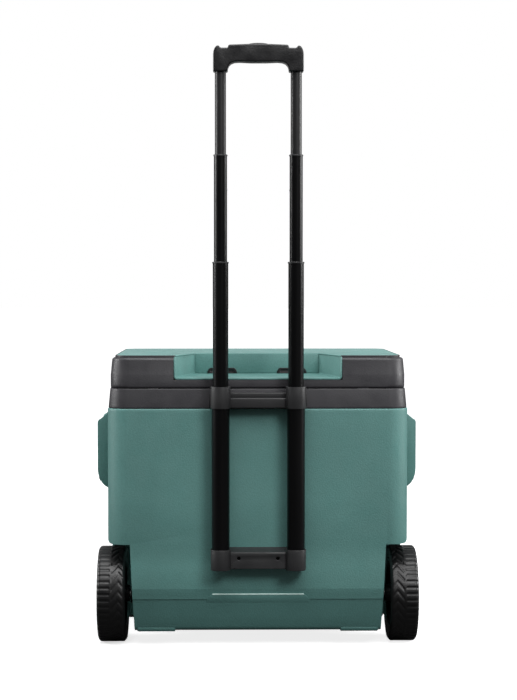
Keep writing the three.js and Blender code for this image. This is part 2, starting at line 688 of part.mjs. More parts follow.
for (const [name, side] of SIDES) {
  const at = [AXLE_Y, AXLE_Z];
  add(`front_foot_${name}`, frontFoot(side), CHARCOAL);
  const bush = cut(
    join(rod("x", 14, [198, 232], at), rod("x", 19, [231 + GAP, 234], at)),
    rod("x", AXLE_R + GAP, [203, 240], at),
  );
  add(`axle_bush_${name}`, toSide(bush, side), BLACK);
  add(`axle_${name}`, toSide(rod("x", AXLE_R, [204, 284], at), side), STEEL);
  const tyre = turned("x", closed(tyreProfile), at, 40);
  add(`tyre_${name}`, toSide(tyre, side), RUBBER);
  const rim = turned("x", closed(rimProfile), at, 24);
  add(`wheel_rim_${name}`, toSide(rim, side), BLACK);
  const cap = turned("x", [[0, 285], [16, 285], [19.5, 282.3], [22, 282.3], [22, 286], [14, 289.5],
    [0, 290]], at, 20);
  add(`hub_cap_${name}`, toSide(cap, side), BLACK);
}

// ---- Pull handle --------------------------------------------------------------------------
const roundedRect = ([x0, x1], [y0, y1], r) => {
  const shape = new THREE.Shape();
  shape.moveTo(x0 + r, y0);
  shape.lineTo(x1 - r, y0);
  shape.absarc(x1 - r, y0 + r, r, -Math.PI / 2, 0, false);
  shape.absarc(x1 - r, y1 - r, r, 0, Math.PI / 2, false);
  shape.absarc(x0 + r, y1 - r, r, Math.PI / 2, Math.PI, false);
  shape.absarc(x0 + r, y0 + r, r, Math.PI, 1.5 * Math.PI, false);
  return shape;
};
const poleRods = (r, span) => SIDES.map(([, side]) => rod("z", r, span, [side * POLE_X, POLE_Y]));
const poleSpan = (side) => [side * POLE_X - COLLAR_HALF, side * POLE_X + COLLAR_HALF];

function upperBracket() {
  const { low, high, plateHigh } = UPPER_BRACKET;
  const face = REAR - RIM_INSET_LOW + 1;
  const sleeves = SIDES.map(([, side]) => {
    const full = prism("z", roundedRect(poleSpan(side), [face, POLE_Y + COLLAR_HALF], 12),
      [low, plateHigh]);
    const neck = prism("z", roundedRect(poleSpan(side), [REAR + 9.5, POLE_Y + COLLAR_HALF], 12),
      [plateHigh - 1, high]);
    return full.add(neck);
  });
  const bar = box([-POLE_X, POLE_X], [face, REAR + 26], [low, 457]);
  const rail = box([-POLE_X, POLE_X], [face, REAR + 23], [460, plateHigh]);
  const web = box([-POLE_X, POLE_X], [face, REAR + 18], [456, 461]);
  return cut(
    join(...sleeves, bar, rail, web),
    ...poleRods(TUBE_R.outer + GAP, [low - 5, TUBE_TOP.outer + GAP]),
    ...poleRods(TUBE_R.lower + 0.45, [low, high + 5]),
  );
}

function lowerBracket() {
  const { low, high, floor } = LOWER_BRACKET;
  const face = REAR - 2 + GAP;
  const sleeves = SIDES.map(([, side]) =>
    prism("z", roundedRect(poleSpan(side), [face, POLE_Y + COLLAR_HALF], 10), [low, high]));
  const bar = new THREE.Shape();
  bar.moveTo(-POLE_X, low);
  bar.quadraticCurveTo(0, low + 3, POLE_X, low);
  bar.lineTo(POLE_X, high);
  bar.lineTo(-POLE_X, high);
  bar.closePath();
  const crossBar = prism("y", bar, [face, REAR + 30]);
  const screwSpaces = SIDES.map(([, side]) =>
    join(
      rod("y", 5, [REAR + 14, REAR + 40], [side * LOWER_SCREW.x, LOWER_SCREW.z], 16),
      rod("y", 2.6, [REAR - 10, REAR + 20], [side * LOWER_SCREW.x, LOWER_SCREW.z], 12),
    ));
  return cut(join(...sleeves, crossBar), ...poleRods(TUBE_R.outer + GAP, [floor, high + 5]),
    ...screwSpaces);
}

const bracketScrew = (side) => {
  const at = [side * LOWER_SCREW.x, LOWER_SCREW.z];
  return join(
    rod("y", 4.4, [REAR + 14 + GAP, REAR + 18], at, 16),
    rod("y", LOWER_SCREW.r, [REAR - 18, REAR + 15], at, 12),
  );
};

function tube(r, [low, high], side) {
  const inner = r - TUBE_WALL;
  const wall = closed([[inner, low], [r, low], [r, high], [inner, high]]);
  return turned("z", wall, [side * POLE_X, POLE_Y], 20);
}

function glide(r, low, side) {
  const foot = low - GLIDE.below;
  const neck = r - TUBE_WALL - GAP;
  const profile = [[0, foot], [r - 1, foot], [r, foot + 1], [r, low - GAP], [neck, low - GAP],
    [neck, low + GLIDE.above], [0, low + GLIDE.above]];
  return turned("z", profile, [side * POLE_X, POLE_Y], 16);
}

function grip() {
  const shape = new THREE.Shape();
  const { half, low, high, legIn, under } = GRIP;
  shape.moveTo(-half, low);
  shape.lineTo(-legIn, low);
  shape.quadraticCurveTo(-legIn + 2, under - 1, -legIn + 22, under);
  shape.lineTo(legIn - 22, under);
  shape.quadraticCurveTo(legIn - 2, under - 1, legIn, low);
  shape.lineTo(half, low);
  shape.lineTo(half, high - 17);
  shape.quadraticCurveTo(half - 0.5, high - 3, half - 9, high);
  shape.lineTo(half - 12, high - 4);
  shape.lineTo(half - 26, high - 4);
  shape.lineTo(half - 27, high + 1);
  shape.lineTo(20, high + 2.6);
  shape.lineTo(-20, high + 2.6);
  shape.lineTo(-half + 27, high + 1);
  shape.lineTo(-half + 26, high - 4);
  shape.lineTo(-half + 12, high - 4);
  shape.lineTo(-half + 9, high);
  shape.quadraticCurveTo(-half + 0.5, high - 3, -half, high - 17);
  shape.closePath();
  const span = [POLE_Y - GRIP.thick / 2, POLE_Y + GRIP.thick / 2];
  const channel = box([-POLE_X - 4, POLE_X + 4], [POLE_Y - 5, POLE_Y + 5], [1061.4, 1075]);
  const mouth = box([-19.5, 19.5], [POLE_Y - 8, POLE_Y + 8], [1066, 1100]);
  return cut(prism("y", shape, span), channel, mouth,
    ...poleRods(TUBE_R.upper + GAP, [low - 5, TUBE_TOP.upper + GAP]),
    ...poleRods(3, [low, 1070]));
}

function releaseButton() {
  const crown = new THREE.Shape();
  crown.moveTo(-19, 1072);
  crown.lineTo(19, 1072);
  crown.lineTo(19, BUTTON_TOP - 2.8);
  crown.quadraticCurveTo(0, BUTTON_TOP + 2.8, -19, BUTTON_TOP - 2.8);
  crown.closePath();
  return join(
    prism("y", crown, [POLE_Y - 7.5, POLE_Y + 7.5]),
    box([-POLE_X - 3, POLE_X + 3], [POLE_Y - 4, POLE_Y + 4], [1069, 1073]),
  );
}

class Helix extends THREE.Curve {
  constructor(radius, low, high, turns) {
    super();
    Object.assign(this, { radius, low, high, turns });
  }
  getPoint(t, target = new THREE.Vector3()) {
    const angle = 2 * Math.PI * this.turns * t;
    const z = this.low + (this.high - this.low) * t;
    return target.set(this.radius * Math.cos(angle), POLE_Y + this.radius * Math.sin(angle), z);
  }
}
function buttonSpring() {
  const section = new THREE.Shape();
  section.absarc(0, 0, 0.5, 0, 2 * Math.PI, false);
  const path = new Helix(2.6, 1062.6, 1068.1, 3);
  return solid(
    new THREE.ExtrudeGeometry(section, { steps: 36, extrudePath: path, curveSegments: 3 }),
  );
}

add("upper_bracket", upperBracket(), CHARCOAL);
add("lower_bracket", lowerBracket(), CHARCOAL);
for (const [name, side] of SIDES) {
  add(`lower_bracket_screw_${name}`, bracketScrew(side), STEEL);
  for (const stage of ["outer", "lower", "middle", "upper"]) {
    const span = [TUBE_LOW[stage], TUBE_TOP[stage]];
    add(`${stage}_tube_${name}`, tube(TUBE_R[stage], span, side), TUBE_BLACK);
    if (stage === "outer") continue;
    add(`${stage}_glide_${name}`, glide(TUBE_R[stage], TUBE_LOW[stage], side), BLACK);
  }
  const release = rod("z", 2.5, [833, 1069 - GAP], [side * POLE_X, POLE_Y], 12);
  add(`release_rod_${name}`, release, STEEL);
}
add("grip", grip(), BLACK);
add("release_button", releaseButton(), BLACK);
add("button_spring", buttonSpring(), STEEL);

export default group;
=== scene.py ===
"""Visual model of the wheeled cooler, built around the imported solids. Lengths are in
millimetres in the constants and builders, and become metres as each mesh is made."""

import math

import bmesh
import bpy
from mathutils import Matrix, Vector


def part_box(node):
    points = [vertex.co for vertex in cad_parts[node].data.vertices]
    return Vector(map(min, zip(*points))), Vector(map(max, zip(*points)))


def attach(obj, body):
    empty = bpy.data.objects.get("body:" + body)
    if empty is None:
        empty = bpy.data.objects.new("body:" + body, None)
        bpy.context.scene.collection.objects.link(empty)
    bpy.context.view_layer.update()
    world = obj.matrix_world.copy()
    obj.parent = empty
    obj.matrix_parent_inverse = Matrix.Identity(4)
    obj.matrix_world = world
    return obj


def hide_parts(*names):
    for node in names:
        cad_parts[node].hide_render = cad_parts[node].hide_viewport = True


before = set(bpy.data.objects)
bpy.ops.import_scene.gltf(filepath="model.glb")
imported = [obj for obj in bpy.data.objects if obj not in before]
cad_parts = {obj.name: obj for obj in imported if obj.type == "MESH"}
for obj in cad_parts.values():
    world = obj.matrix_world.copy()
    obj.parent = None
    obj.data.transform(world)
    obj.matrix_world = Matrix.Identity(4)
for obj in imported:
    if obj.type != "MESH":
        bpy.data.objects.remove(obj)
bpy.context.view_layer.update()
scene = bpy.context.scene
MM = 0.001


# ---- Dimensions, some taken from the solids ----------------------------------------------
def span(node):
    """The two corners of a solid, in millimetres."""
    low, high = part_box(node)
    return low / MM, high / MM


shell_low, shell_high = span("outer_shell")
lid_low, lid_high = span("lid_shell")
REAR, FRONT = shell_high.y, shell_low.y
TUB_BOTTOM, TUB_TOP = 29.0, shell_high.z
LINER_BASE = 37.0  # the liner is drawn in from here
LINER_CORNER = 58
MID = (REAR + FRONT) / 2
HALF = 273.0  # half the tub's width
CORNER = 38.0
RIM_TOP = span("rim_collar")[1].z
LID_LOW, LID_TOP = lid_low.z, lid_high.z
LID_CORNER = 36.0
tyre_low, tyre_high = span("tyre_left")
WHEEL_R = (tyre_high.z - tyre_low.z) / 2
WHEEL_IN, WHEEL_OUT = tyre_low.x, tyre_high.x
AXLE = (REAR - WHEEL_R, WHEEL_R)  # y and z
WELL_TOP, WELL_INNER, WELL_FOOT = 190.0, 231.5, 224.5
KICK_TOP, KICK_STEP, KICK_LOW_IN = 110.0, 90.5, 27.0
STEP_IN, UNDERCUT = 5, 1.2  # the back wall at the step
POLE_X, POLE_Y = 67.4, REAR + 28
SCREW_X, SCREW_Z = 35.0, 169.4  # the lower bracket's screws
GRIP_HALF, GRIP_LOW, GRIP_HIGH, BUTTON_EDGE = 80.4, 1037.0, 1082.5, 1084.5
NOTCH_DEPTH, NOTCH_REAR, NOTCH_DEEP = 125.0, 151.0, 116.0
NOTCH_FLOOR, NOTCH_FLOOR_DEEP = 491.0, 494.3
BAY_WALL = REAR - NOTCH_DEPTH
SPOUT_X = 65
REVEAL_LOW, REVEAL_INSET = 527.5, 13.6  # the step round the lid's top
HINGE = (181.0, 478.3)  # y and z
HINGE_X, HINGE_R = 190.0, 6.0
PIVOT = (287.0, 398.0)  # x and z of a carry handle's pegs
REACH = 71.0  # half a carry handle's length
LUG_NEAR, LUG_FAR = 72.5, 82.5
LATCH_X, LATCH_Y, LATCH_Z = 120.0, FRONT - 8, 494.0
DRAIN = (-150.0, 86.0)  # y and z
FLOOR_SIZE = 60000
SIDES = (("left", 1), ("right", -1))
LENS_MM, SENSOR_MM = 93.45, 36.0
CAMERA_AT = (54, REAR + 3270, 650)
PITCH_DOWN, YAW = 1.89, 0.96  # degrees

# ---- Camera ------------------------------------------------------------------------------
camera = bpy.data.objects.new("camera", bpy.data.cameras.new("camera"))
camera.data.sensor_fit = "VERTICAL"
camera.data.sensor_height = SENSOR_MM
camera.data.lens = LENS_MM
camera.location = Vector(CAMERA_AT) * MM
camera.rotation_euler = (math.radians(90 - PITCH_DOWN), 0, math.radians(180 - YAW))
scene.collection.objects.link(camera)
scene.camera = camera


# ---- Materials ---------------------------------------------------------------------------
def node(tree, kind, **values):
    """A new node; each value goes to the input of its name, or else to the setting."""
    made = tree.nodes.new(kind)
    for key, value in values.items():
        if key in made.inputs:
            made.inputs[key].default_value = value
        else:
            setattr(made, key, value)
    return made


def ramp(tree, source, low, high, stops=(0.3, 0.7)):
    """A colour ramp from low to high over the source's values."""
    made = tree.nodes.new("ShaderNodeValToRGB")
    for element, stop, colour in zip(made.color_ramp.elements, stops, (low, high)):
        element.position = stop
        element.color = (*colour, 1)
    tree.links.new(source, made.inputs[0])
    return made.outputs[0]


def scaled(colour, factor):
    """The colour made lighter or darker."""
    return tuple(min(1.0, channel * factor) for channel in colour)


CLOUD_SCALE, SCUFF_SCALE = 7, 38
GRAIN_DEPTH = 0.0004  # metres
# how strongly, and how much paler, the edges that stand out are coloured
SPECK_SHARE, EDGE_PALE_SHARE, EDGE_PALER = 0.5, 0.25, 1.6


def noise(tree, where, scale, detail):
    """The values of a noise over the object."""
    made = node(tree, "ShaderNodeTexNoise", Scale=scale, Detail=detail)
    tree.links.new(where, made.inputs["Vector"])
    return made.outputs["Fac"]


def mottled(tree, where, colour, mottle, grain_scale):
    """The colour in soft clouds, with a fine darker speck."""
    clouds = ramp(tree, noise(tree, where, CLOUD_SCALE, 3), scaled(colour, 1 - mottle),
                  scaled(colour, 1 + mottle))
    speck = ramp(tree, noise(tree, where, grain_scale, 2), (0.8,) * 3, (1.0,) * 3, (0.35, 0.6))
    mix = node(tree, "ShaderNodeMix", data_type="RGBA", blend_type="MULTIPLY")
    mix.inputs[0].default_value = SPECK_SHARE
    tree.links.new(clouds, mix.inputs[6])
    tree.links.new(speck, mix.inputs[7])
    return mix.outputs[2]


def paler_edges(tree, base, colour):
    """The base colour, a little paler on edges that stand out."""
    edge_mask = ramp(tree, node(tree, "ShaderNodeNewGeometry").outputs["Pointiness"],
                (0, 0, 0), (1, 1, 1), (0.53, 0.62))
    weaken = node(tree, "ShaderNodeMath", operation="MULTIPLY")
    weaken.inputs[1].default_value = EDGE_PALE_SHARE
    tree.links.new(edge_mask, weaken.inputs[0])
    edge = node(tree, "ShaderNodeMix", data_type="RGBA", blend_type="MIX")
    tree.links.new(weaken.outputs[0], edge.inputs[0])
    tree.links.new(base, edge.inputs[6])
    edge.inputs[7].default_value = (*scaled(colour, EDGE_PALER), 1)
    return edge.outputs[2]


def surface(name, colour, rough, metallic=0.0, grain=0.0, grain_scale=700, mottle=0.08,
            scuff=0.1, stretch=(1, 1, 1), specular=0.5):
    """Moulded plastic, rubber or metal: a mottled colour, scuffs in the roughness, and grain."""
    material = bpy.data.materials.new(name)
    material.use_nodes = True
    tree = material.node_tree
    shader = tree.nodes["Principled BSDF"]
    shader.inputs["Metallic"].default_value = metallic
    shader.inputs["Specular IOR Level"].default_value = specular
    mapping = node(tree, "ShaderNodeMapping", Scale=stretch)
    tree.links.new(node(tree, "ShaderNodeTexCoord").outputs["Object"], mapping.inputs["Vector"])
    where = mapping.outputs["Vector"]
    base = paler_edges(tree, mottled(tree, where, colour, mottle, grain_scale), colour)
    tree.links.new(base, shader.inputs["Base Color"])
    lows, highs = max(rough - scuff, 0.02), min(rough + scuff, 1)
    roughness = ramp(tree, noise(tree, where, SCUFF_SCALE, 5), (lows,) * 3, (highs,) * 3)
    tree.links.new(roughness, shader.inputs["Roughness"])
    if grain:
        bump = node(tree, "ShaderNodeBump", Strength=grain, Distance=GRAIN_DEPTH)
        tree.links.new(noise(tree, where, grain_scale, 3), bump.inputs["Height"])
        tree.links.new(bump.outputs["Normal"], shader.inputs["Normal"])
    return material


MATERIALS = {
    "shell_green": surface("green_plastic", (0.097, 0.232, 0.214), 0.5, grain=1.0,
                           grain_scale=400),
    "charcoal_plastic": surface("charcoal_plastic", (0.031, 0.030, 0.034), 0.48, grain=0.5,
                                grain_scale=480),
    "liner_white": surface("white_plastic", (0.76, 0.77, 0.76), 0.32, grain=0.08, mottle=0.03),
    "foam": surface("foam", (0.74, 0.66, 0.38), 0.9, grain=0.9, grain_scale=420),
    "black_plastic": surface("black_plastic", (0.008, 0.008, 0.0088), 0.42, grain=0.2),
    "tube_black": surface("tube_finish", (0.0016, 0.0016, 0.0018), 0.34, grain=0.04, scuff=0.06,
                          stretch=(1, 1, 0.05), specular=0.2),
    "tyre_rubber": surface("tyre_rubber", (0.004, 0.004, 0.0042), 0.38, grain=0.35, specular=0.38),
    "latch_rubber": surface("latch_rubber", (0.013, 0.013, 0.014), 0.6, grain=0.25),
    "black_steel": surface("blackened_steel", (0.02, 0.02, 0.021), 0.4, metallic=0.6, grain=0.05),
    "steel": surface("steel", (0.55, 0.56, 0.57), 0.3, metallic=1.0, grain=0.05,
                     stretch=(0.1, 1, 1)),
    # pale green for the strip on the kick pad's top edge: a painted highlight
    "painted_highlight_green": surface("painted_highlight_green", (0.46, 0.62, 0.58), 0.35, grain=0.1),
    # the tube black made lighter for the upper tubes: a painted sheen
    "top_stage_tube_sheen": surface("top_stage_tube_painted_sheen", (0.010, 0.010, 0.0104), 0.42, grain=0.04,
                          scuff=0.06, stretch=(1, 1, 0.05), specular=0.32),
    "bracket_black": surface("bracket_plastic", (0.017, 0.017, 0.018), 0.5, grain=0.3,
                             grain_scale=520, specular=0.4),
    "grip_black": surface("grip_plastic", (0.0055, 0.0053, 0.006), 0.36, grain=0.5,
                          grain_scale=420),
}


# ---- Builders ----------------------------------------------------------------------------
def body_from(name, points, faces):
    """A mesh object from points in millimetres, its normals turned outward."""
    data = bpy.data.meshes.new(name)
    data.from_pydata([tuple(Vector(p) * MM) for p in points], [], faces)
    work = bmesh.new()
    work.from_mesh(data)
    bmesh.ops.remove_doubles(work, verts=work.verts, dist=1e-6)
    bmesh.ops.recalc_face_normals(work, faces=work.faces)
    work.to_mesh(data)
    work.free()
    made = bpy.data.objects.new(name, data)
    scene.collection.objects.link(made)
    return made


def settle(piece, angle=35):
    """Applies a piece's modifiers, and shades it smooth between its creases."""
    bpy.context.view_layer.update()
    graph = bpy.context.evaluated_depsgraph_get()
    data = bpy.data.meshes.new_from_object(piece.evaluated_get(graph))
    piece.modifiers.clear()
    piece.data = data
    data.shade_smooth()
    data.set_sharp_from_angle(angle=math.radians(angle))
    return piece


def carve(piece, cutters):
    """Takes the cutters out of a piece, and removes them."""
    for cutter in cutters:
        modifier = piece.modifiers.new("carve", "BOOLEAN")
        modifier.object = cutter
        modifier.operation = "DIFFERENCE"
        modifier.solver = "EXACT"
    settle(piece)
    for cutter in cutters:
        bpy.data.objects.remove(cutter)
    return piece


def bevel(piece, width, segments=3, angle=40):
    """Rounds the edges sharper than the angle."""
    modifier = piece.modifiers.new("bevel", "BEVEL")
    modifier.width = width * MM
    modifier.segments = segments
    modifier.limit_method = "ANGLE"
    modifier.angle_limit = math.radians(angle)
    return settle(piece)


def place(piece, body, slot, *nodes, material=None):
    """Puts a finished piece on its CAD body, with its finish and the solids it stands for."""
    piece.data.materials.clear()
    piece.data.materials.append(MATERIALS[material or slot])
    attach(piece, body)
    if nodes:
        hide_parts(*nodes)
    return piece


def mirrored(points, side):
    """The points on the left (1) or the right (-1) side."""
    return [(side * x, y, z) for x, y, z in points]


def quads(levels, around=True, loop=False):
    """Faces between neighbouring outlines of equal length."""
    count, total = len(levels[0]), len(levels)
    faces = []
    for k in range(total if loop else total - 1):
        low, high = k * count, (k + 1) % total * count
        for i in range(count if around else count - 1):
            j = (i + 1) % count
            faces.append((low + i, low + j, high + j, high + i))
    return faces


def rings(name, levels, loop=False):
    """A closed body through outlines of equal length; a loop joins the last to the first."""
    count, total = len(levels[0]), len(levels)
    faces = quads(levels, loop=loop)
    if not loop:
        faces.append(tuple(range(count)))
        faces.append(tuple(range((total - 1) * count, total * count)))
    return body_from(name, [p for level in levels for p in level], faces)


def arc(centre, radius, start, end, steps):
    """Points on an arc, in degrees, both ends included."""
    angles = [math.radians(start + (end - start) * k / steps) for k in range(steps + 1)]
    return [(centre[0] + radius * math.cos(a), centre[1] + radius * math.sin(a)) for a in angles]


def rounded(x0, x1, y0, y1, radius, steps=10):
    """The outline of a rectangle with round corners, anticlockwise."""
    r = min(radius, (x1 - x0) / 2 - 0.01, (y1 - y0) / 2 - 0.01)
    corners = ((x1 - r, y0 + r, -90), (x1 - r, y1 - r, 0), (x0 + r, y1 - r, 90),
               (x0 + r, y0 + r, 180))
    return [p for x, y, a in corners for p in arc((x, y), r, a, a + 90, steps)]


def tub_ring(z, inset, further=0.0, corner=CORNER, least=4.0):
    """The tub's outline at a height, drawn in on all sides and further at the back."""
    outline = rounded(-HALF + inset, HALF - inset, FRONT + inset, REAR - inset - further,
                      max(corner - inset, least), 14)
    return [(x, y, z) for x, y in outline]


def turned(name, profile, axis, centre, steps=64):
    """A round body from a (radius, along) profile; a profile off the axis is closed."""
    levels = []
    closed = profile[0][0] > 0 and profile[-1][0] > 0
    for k in range(steps):
        a = 2 * math.pi * k / steps
        level = []
        for radius, along in profile:
            u = centre[0] + radius * math.cos(a)
            v = centre[1] + radius * math.sin(a)
            level.append({"x": (along, u, v), "y": (u, along, v), "z": (u, v, along)}[axis])
        levels.append(level)
    points = [p for level in levels for p in level]
    return body_from(name, points, quads(levels, around=closed, loop=True))


def pushed(name, outline, axis, low, high):
    """An outline pushed along an axis. Its two coordinates are the other axes, in order."""
    def at(p, along):
        a, b = p
        return {"x": (along, a, b), "y": (a, along, b), "z": (a, b, along)}[axis]
    return rings(name, [[at(p, low) for p in outline], [at(p, high) for p in outline]])


def block(name, xs, ys, zs):
    """A box between two places on each axis."""
    outline = [(xs[0], ys[0]), (xs[1], ys[0]), (xs[1], ys[1]), (xs[0], ys[1])]
    return pushed(name, outline, "z", *zs)


def quarter(radius, steps=4):
    """(across, along) offsets of a quarter round, from its foot to its top."""
    return [(radius * (1 - math.cos(a)), radius * math.sin(a))
            for a in (math.pi / 2 * k / steps for k in range(steps + 1))]


def pin_hole(x, half, radius, centre):
    """A cutter along x for a pin."""
    profile = [(0, x - half), (radius, x - half), (radius, x + half), (0, x + half)]
    return turned("cutter", profile, "x", centre, 24)


# ---- Tub ---------------------------------------------------------------------------------
def lean(z):
    """How far the tub's back wall leans in at a height."""
    if z >= KICK_TOP:
        return 0.0
    if z >= KICK_STEP:
        return STEP_IN * (KICK_TOP - z) / (KICK_TOP - KICK_STEP)
    run = KICK_LOW_IN - STEP_IN - UNDERCUT
    return STEP_IN + UNDERCUT + run * (KICK_STEP - z) / (KICK_STEP - TUB_BOTTOM)


def well_outline(margin):
    """The wheel well seen from the side, grown by a margin."""
    y, z = AXLE
    reach = WELL_TOP - z + margin
    return [(REAR + 20, -20), (REAR + 20, z + reach), (y + 1, z + reach),
            *arc((y, z), reach, 90, 180, 20), (y - reach, -20)]


def well_cutter(side, grow=0.0, lip=8.0, shift=0.0):
    """The space a wheel takes from the tub; it flares where it meets the tub's side."""
    foot = WELL_FOOT - grow - shift
    slope = (WELL_INNER - WELL_FOOT) / (WELL_TOP - TUB_BOTTOM)
    inner = [(foot + slope * (z - TUB_BOTTOM), y, z) for y, z in well_outline(grow)]
    sections = [inner, [(HALF - lip - 0.5, y, z) for y, z in well_outline(grow)]]
    for across, along in quarter(lip, 8):
        sections.append([(HALF - lip + along, y, z) for y, z in well_outline(grow + across)])
    sections.append([(HALF + 40, y, z) for y, z in well_outline(grow + lip)])
    return rings("cutter", [mirrored(s, side) for s in sections])


def open_top(piece, z):
    """Takes off a piece's flat top at a height."""
    work = bmesh.new()
    work.from_mesh(piece.data)
    tops = [f for f in work.faces if all(abs(v.co.z / MM - z) < 0.05 for v in f.verts)]
    bmesh.ops.delete(work, geom=tops, context="FACES")
    work.to_mesh(piece.data)
    work.free()


def thicken(piece, thickness, outward=False):
    """Gives an open skin a wall."""
    modifier = piece.modifiers.new("wall", "SOLIDIFY")
    modifier.thickness = thickness * MM
    modifier.offset = 1 if outward else -1
    modifier.use_even_offset = True
    return settle(piece)


def tub_shell():
    """The green outer tub: open at the top, with wheel wells and hand pockets."""
    foot = TUB_BOTTOM + 8
    levels = [tub_ring(foot - along, across, lean(foot - along))
              for across, along in reversed(quarter(8))]
    for z in (60, 75, 89.2, 89.8, KICK_STEP, 91, 100, 109.6, 110.4, 150, 270, 400, 430,
              TUB_TOP - 2):
        levels.append(tub_ring(z, 0, lean(z)))
    levels += [tub_ring(TUB_TOP - 2 + along, across) for across, along in quarter(1.6, 3)[1:]]
    levels.append(tub_ring(TUB_TOP, 3))
    shell = rings("tub_shell", levels)
    cutters = [well_cutter(side) for _, side in SIDES]
    for _, side in SIDES:
        pocket = [(side * x, z) for x, z in rounded(HALF - 14, HALF + 9, 284, 340, 7, 5)]
        cutters.append(pushed("cutter", pocket, "y", MID - 50, MID + 50))
    carve(shell, cutters)
    bevel(shell, 1.6, 3, 50)
    open_top(shell, TUB_TOP)
    return thicken(shell, 3.2)


def kick_pad():
    """The pad where the lower back wall runs on up over the step, with a rounded top edge."""
    levels = []
    for z, half, out in ((84, 94.5, -0.6), (KICK_STEP - 1.5, 93.5, 0.3), (95, 89.6, 0.9),
                         (98.4, 85.3, 1.2), (99.5, 84.2, 0.9), (100.4, 83.6, 0.0),
                         (101, 83, -1.6)):
        face = REAR - STEP_IN + 0.40 * (z - KICK_STEP) + out
        levels.append([(-half, face - 6, z), (half, face - 6, z), (half, face, z),
                       (-half, face, z)])
    return bevel(rings("kick_pad", levels), 0.5, 2, 60)


def pad_edge():
    """A strip along the pad's top edge, coloured pale green as a painted highlight."""
    section = [(REAR - 0.1, 98.9), (REAR + 0.3, 99.6), (REAR - 1.2, 101.0),
               (REAR - 2.8, 101.4), (REAR - 4, 99)]
    return bevel(pushed("pad_edge", section, "x", -82.5, 82.5), 0.25, 2)


place(tub_shell(), "tub", "shell_green", "outer_shell")
place(kick_pad(), "tub", "shell_green")
# the strip on the pad's top edge carries a painted highlight
place(pad_edge(), "tub", "shell_green", material="painted_highlight_green")


def handle_lug(name, side, y0, y1):
    """A rib that a carry handle swings beside."""
    inner = HALF - 2
    lower_round = [(inner + 27 * math.cos(a), 316 - 37 * math.sin(a))
                   for a in (math.radians(9 * k) for k in range(1, 10))]
    outline = [(inner, 427), (274, 425), (293.4, 408.6), *arc((290, 402), 8, 50, 0, 5), (298, 318),
               *lower_round, (inner, 279)]
    rib = pushed(name, [(side * x, z) for x, z in outline], "y", y0, y1)
    return bevel(rib, 1.8, 3, 25)


def runner(name, side):
    """A skid under the tub, behind a wheel."""
    levels = []
    for z, shrink, slope in ((27.5, 4, 5), (28.1, 1.6, 3.6), (30, 0.5, 2.4), (36.5, 0, 0)):
        x0, x1 = sorted((side * (150 + shrink / 2), side * (221 - shrink)))
        y0, y1 = REAR - 90 + shrink, REAR - 24.2 - slope
        levels.append([(x0, y0, z), (x1, y0, z), (x1, y1, z), (x0, y1, z)])
    return bevel(rings(name, levels), 3, 4, 50)


for label, side in SIDES:
    for where, y0, y1 in (("rear", MID + LUG_NEAR, MID + LUG_FAR),
                          ("front", MID - LUG_FAR, MID - LUG_NEAR)):
        place(handle_lug(f"lug_{label}_{where}", side, y0, y1), "tub", "shell_green")
    place(runner(f"runner_{label}", side), "tub", "shell_green")


def rim_collar():
    """A closed section carried round the tub's outline, grooved for the lid's hinge."""
    section = [(1.8, TUB_TOP + 0.5), (1.5, TUB_TOP + 1.2), (1.6, 440), (4.5, RIM_TOP - 1.3),
               (4.6, RIM_TOP - 0.8), (5.1, RIM_TOP - 0.2), (5.8, RIM_TOP), (22.6, RIM_TOP),
               (24, RIM_TOP - 1.4), (24, 470), (23.8, 469), (8.5, 469), (6, TUB_TOP + 0.5)]
    rim = settle(rings("rim", [tub_ring(z, inset) for inset, z in section], loop=True))
    groove = [(0, -233), (8.8, -233), (8.8, 233), (0, 233)]
    return carve(rim, [turned("cutter", groove, "x", HINGE, 48)])


place(rim_collar(), "tub", "charcoal_plastic", "rim_collar")


def liner():
    """The white tub inside, with the two steps over the wheel wells."""
    wall = 34.5
    foot = LINER_BASE + wall + 18
    levels = [tub_ring(foot - along, wall + across, max(lean(foot - along) - 4, 0),
                       LINER_CORNER)
              for across, along in reversed(quarter(18, 6))]
    for z in (130, 240, 300, 460, RIM_TOP - 0.5):
        levels.append(tub_ring(z, wall, 0, LINER_CORNER))
    cavity = rings("liner", levels)
    carve(cavity, [well_cutter(side, wall, 3.0, shift=2.5) for _, side in SIDES])
    bevel(cavity, 7, 4, 50)
    open_top(cavity, RIM_TOP - 0.5)
    return thicken(cavity, 2.4, outward=True)


def liner_flange():
    """The liner's edge over the rim."""
    section = [(24.4, RIM_TOP - 2.6), (24.4, RIM_TOP - 0.6), (24.9, RIM_TOP - 0.1),
               (33, RIM_TOP), (34.2, RIM_TOP - 0.8), (34.5, RIM_TOP - 2.6)]
    levels = [tub_ring(z, inset, 0, LINER_CORNER) for inset, z in section]
    return settle(rings("liner_flange", levels, loop=True))


place(liner(), "tub", "liner_white", "inner_liner")
place(liner_flange(), "tub", "liner_white")

# ---- Lid ---------------------------------------------------------------------------------
def lid_ring(z, inset):
    """The lid's outline at a height."""
    return tub_ring(z, inset, 0, LID_CORNER + 5, 6)


def heel(z, x):
    """The lid's lower back edge is round; near the corners it follows the hinge's circle."""
    round_off = 1.6 + (HINGE_R - 1.6) * min(max((abs(x) - 226) / 12, 0), 1)
    below = LID_LOW + round_off - z
    return round_off - math.sqrt(max(round_off ** 2 - below ** 2, 0)) if below > 0 else 0.0


def heeled(ring):
    """Draws the back of one of the lid's outlines in by the heel's round."""
    return [(x, y - heel(z, x) if y > 150 else y, z) for x, y, z in ring]


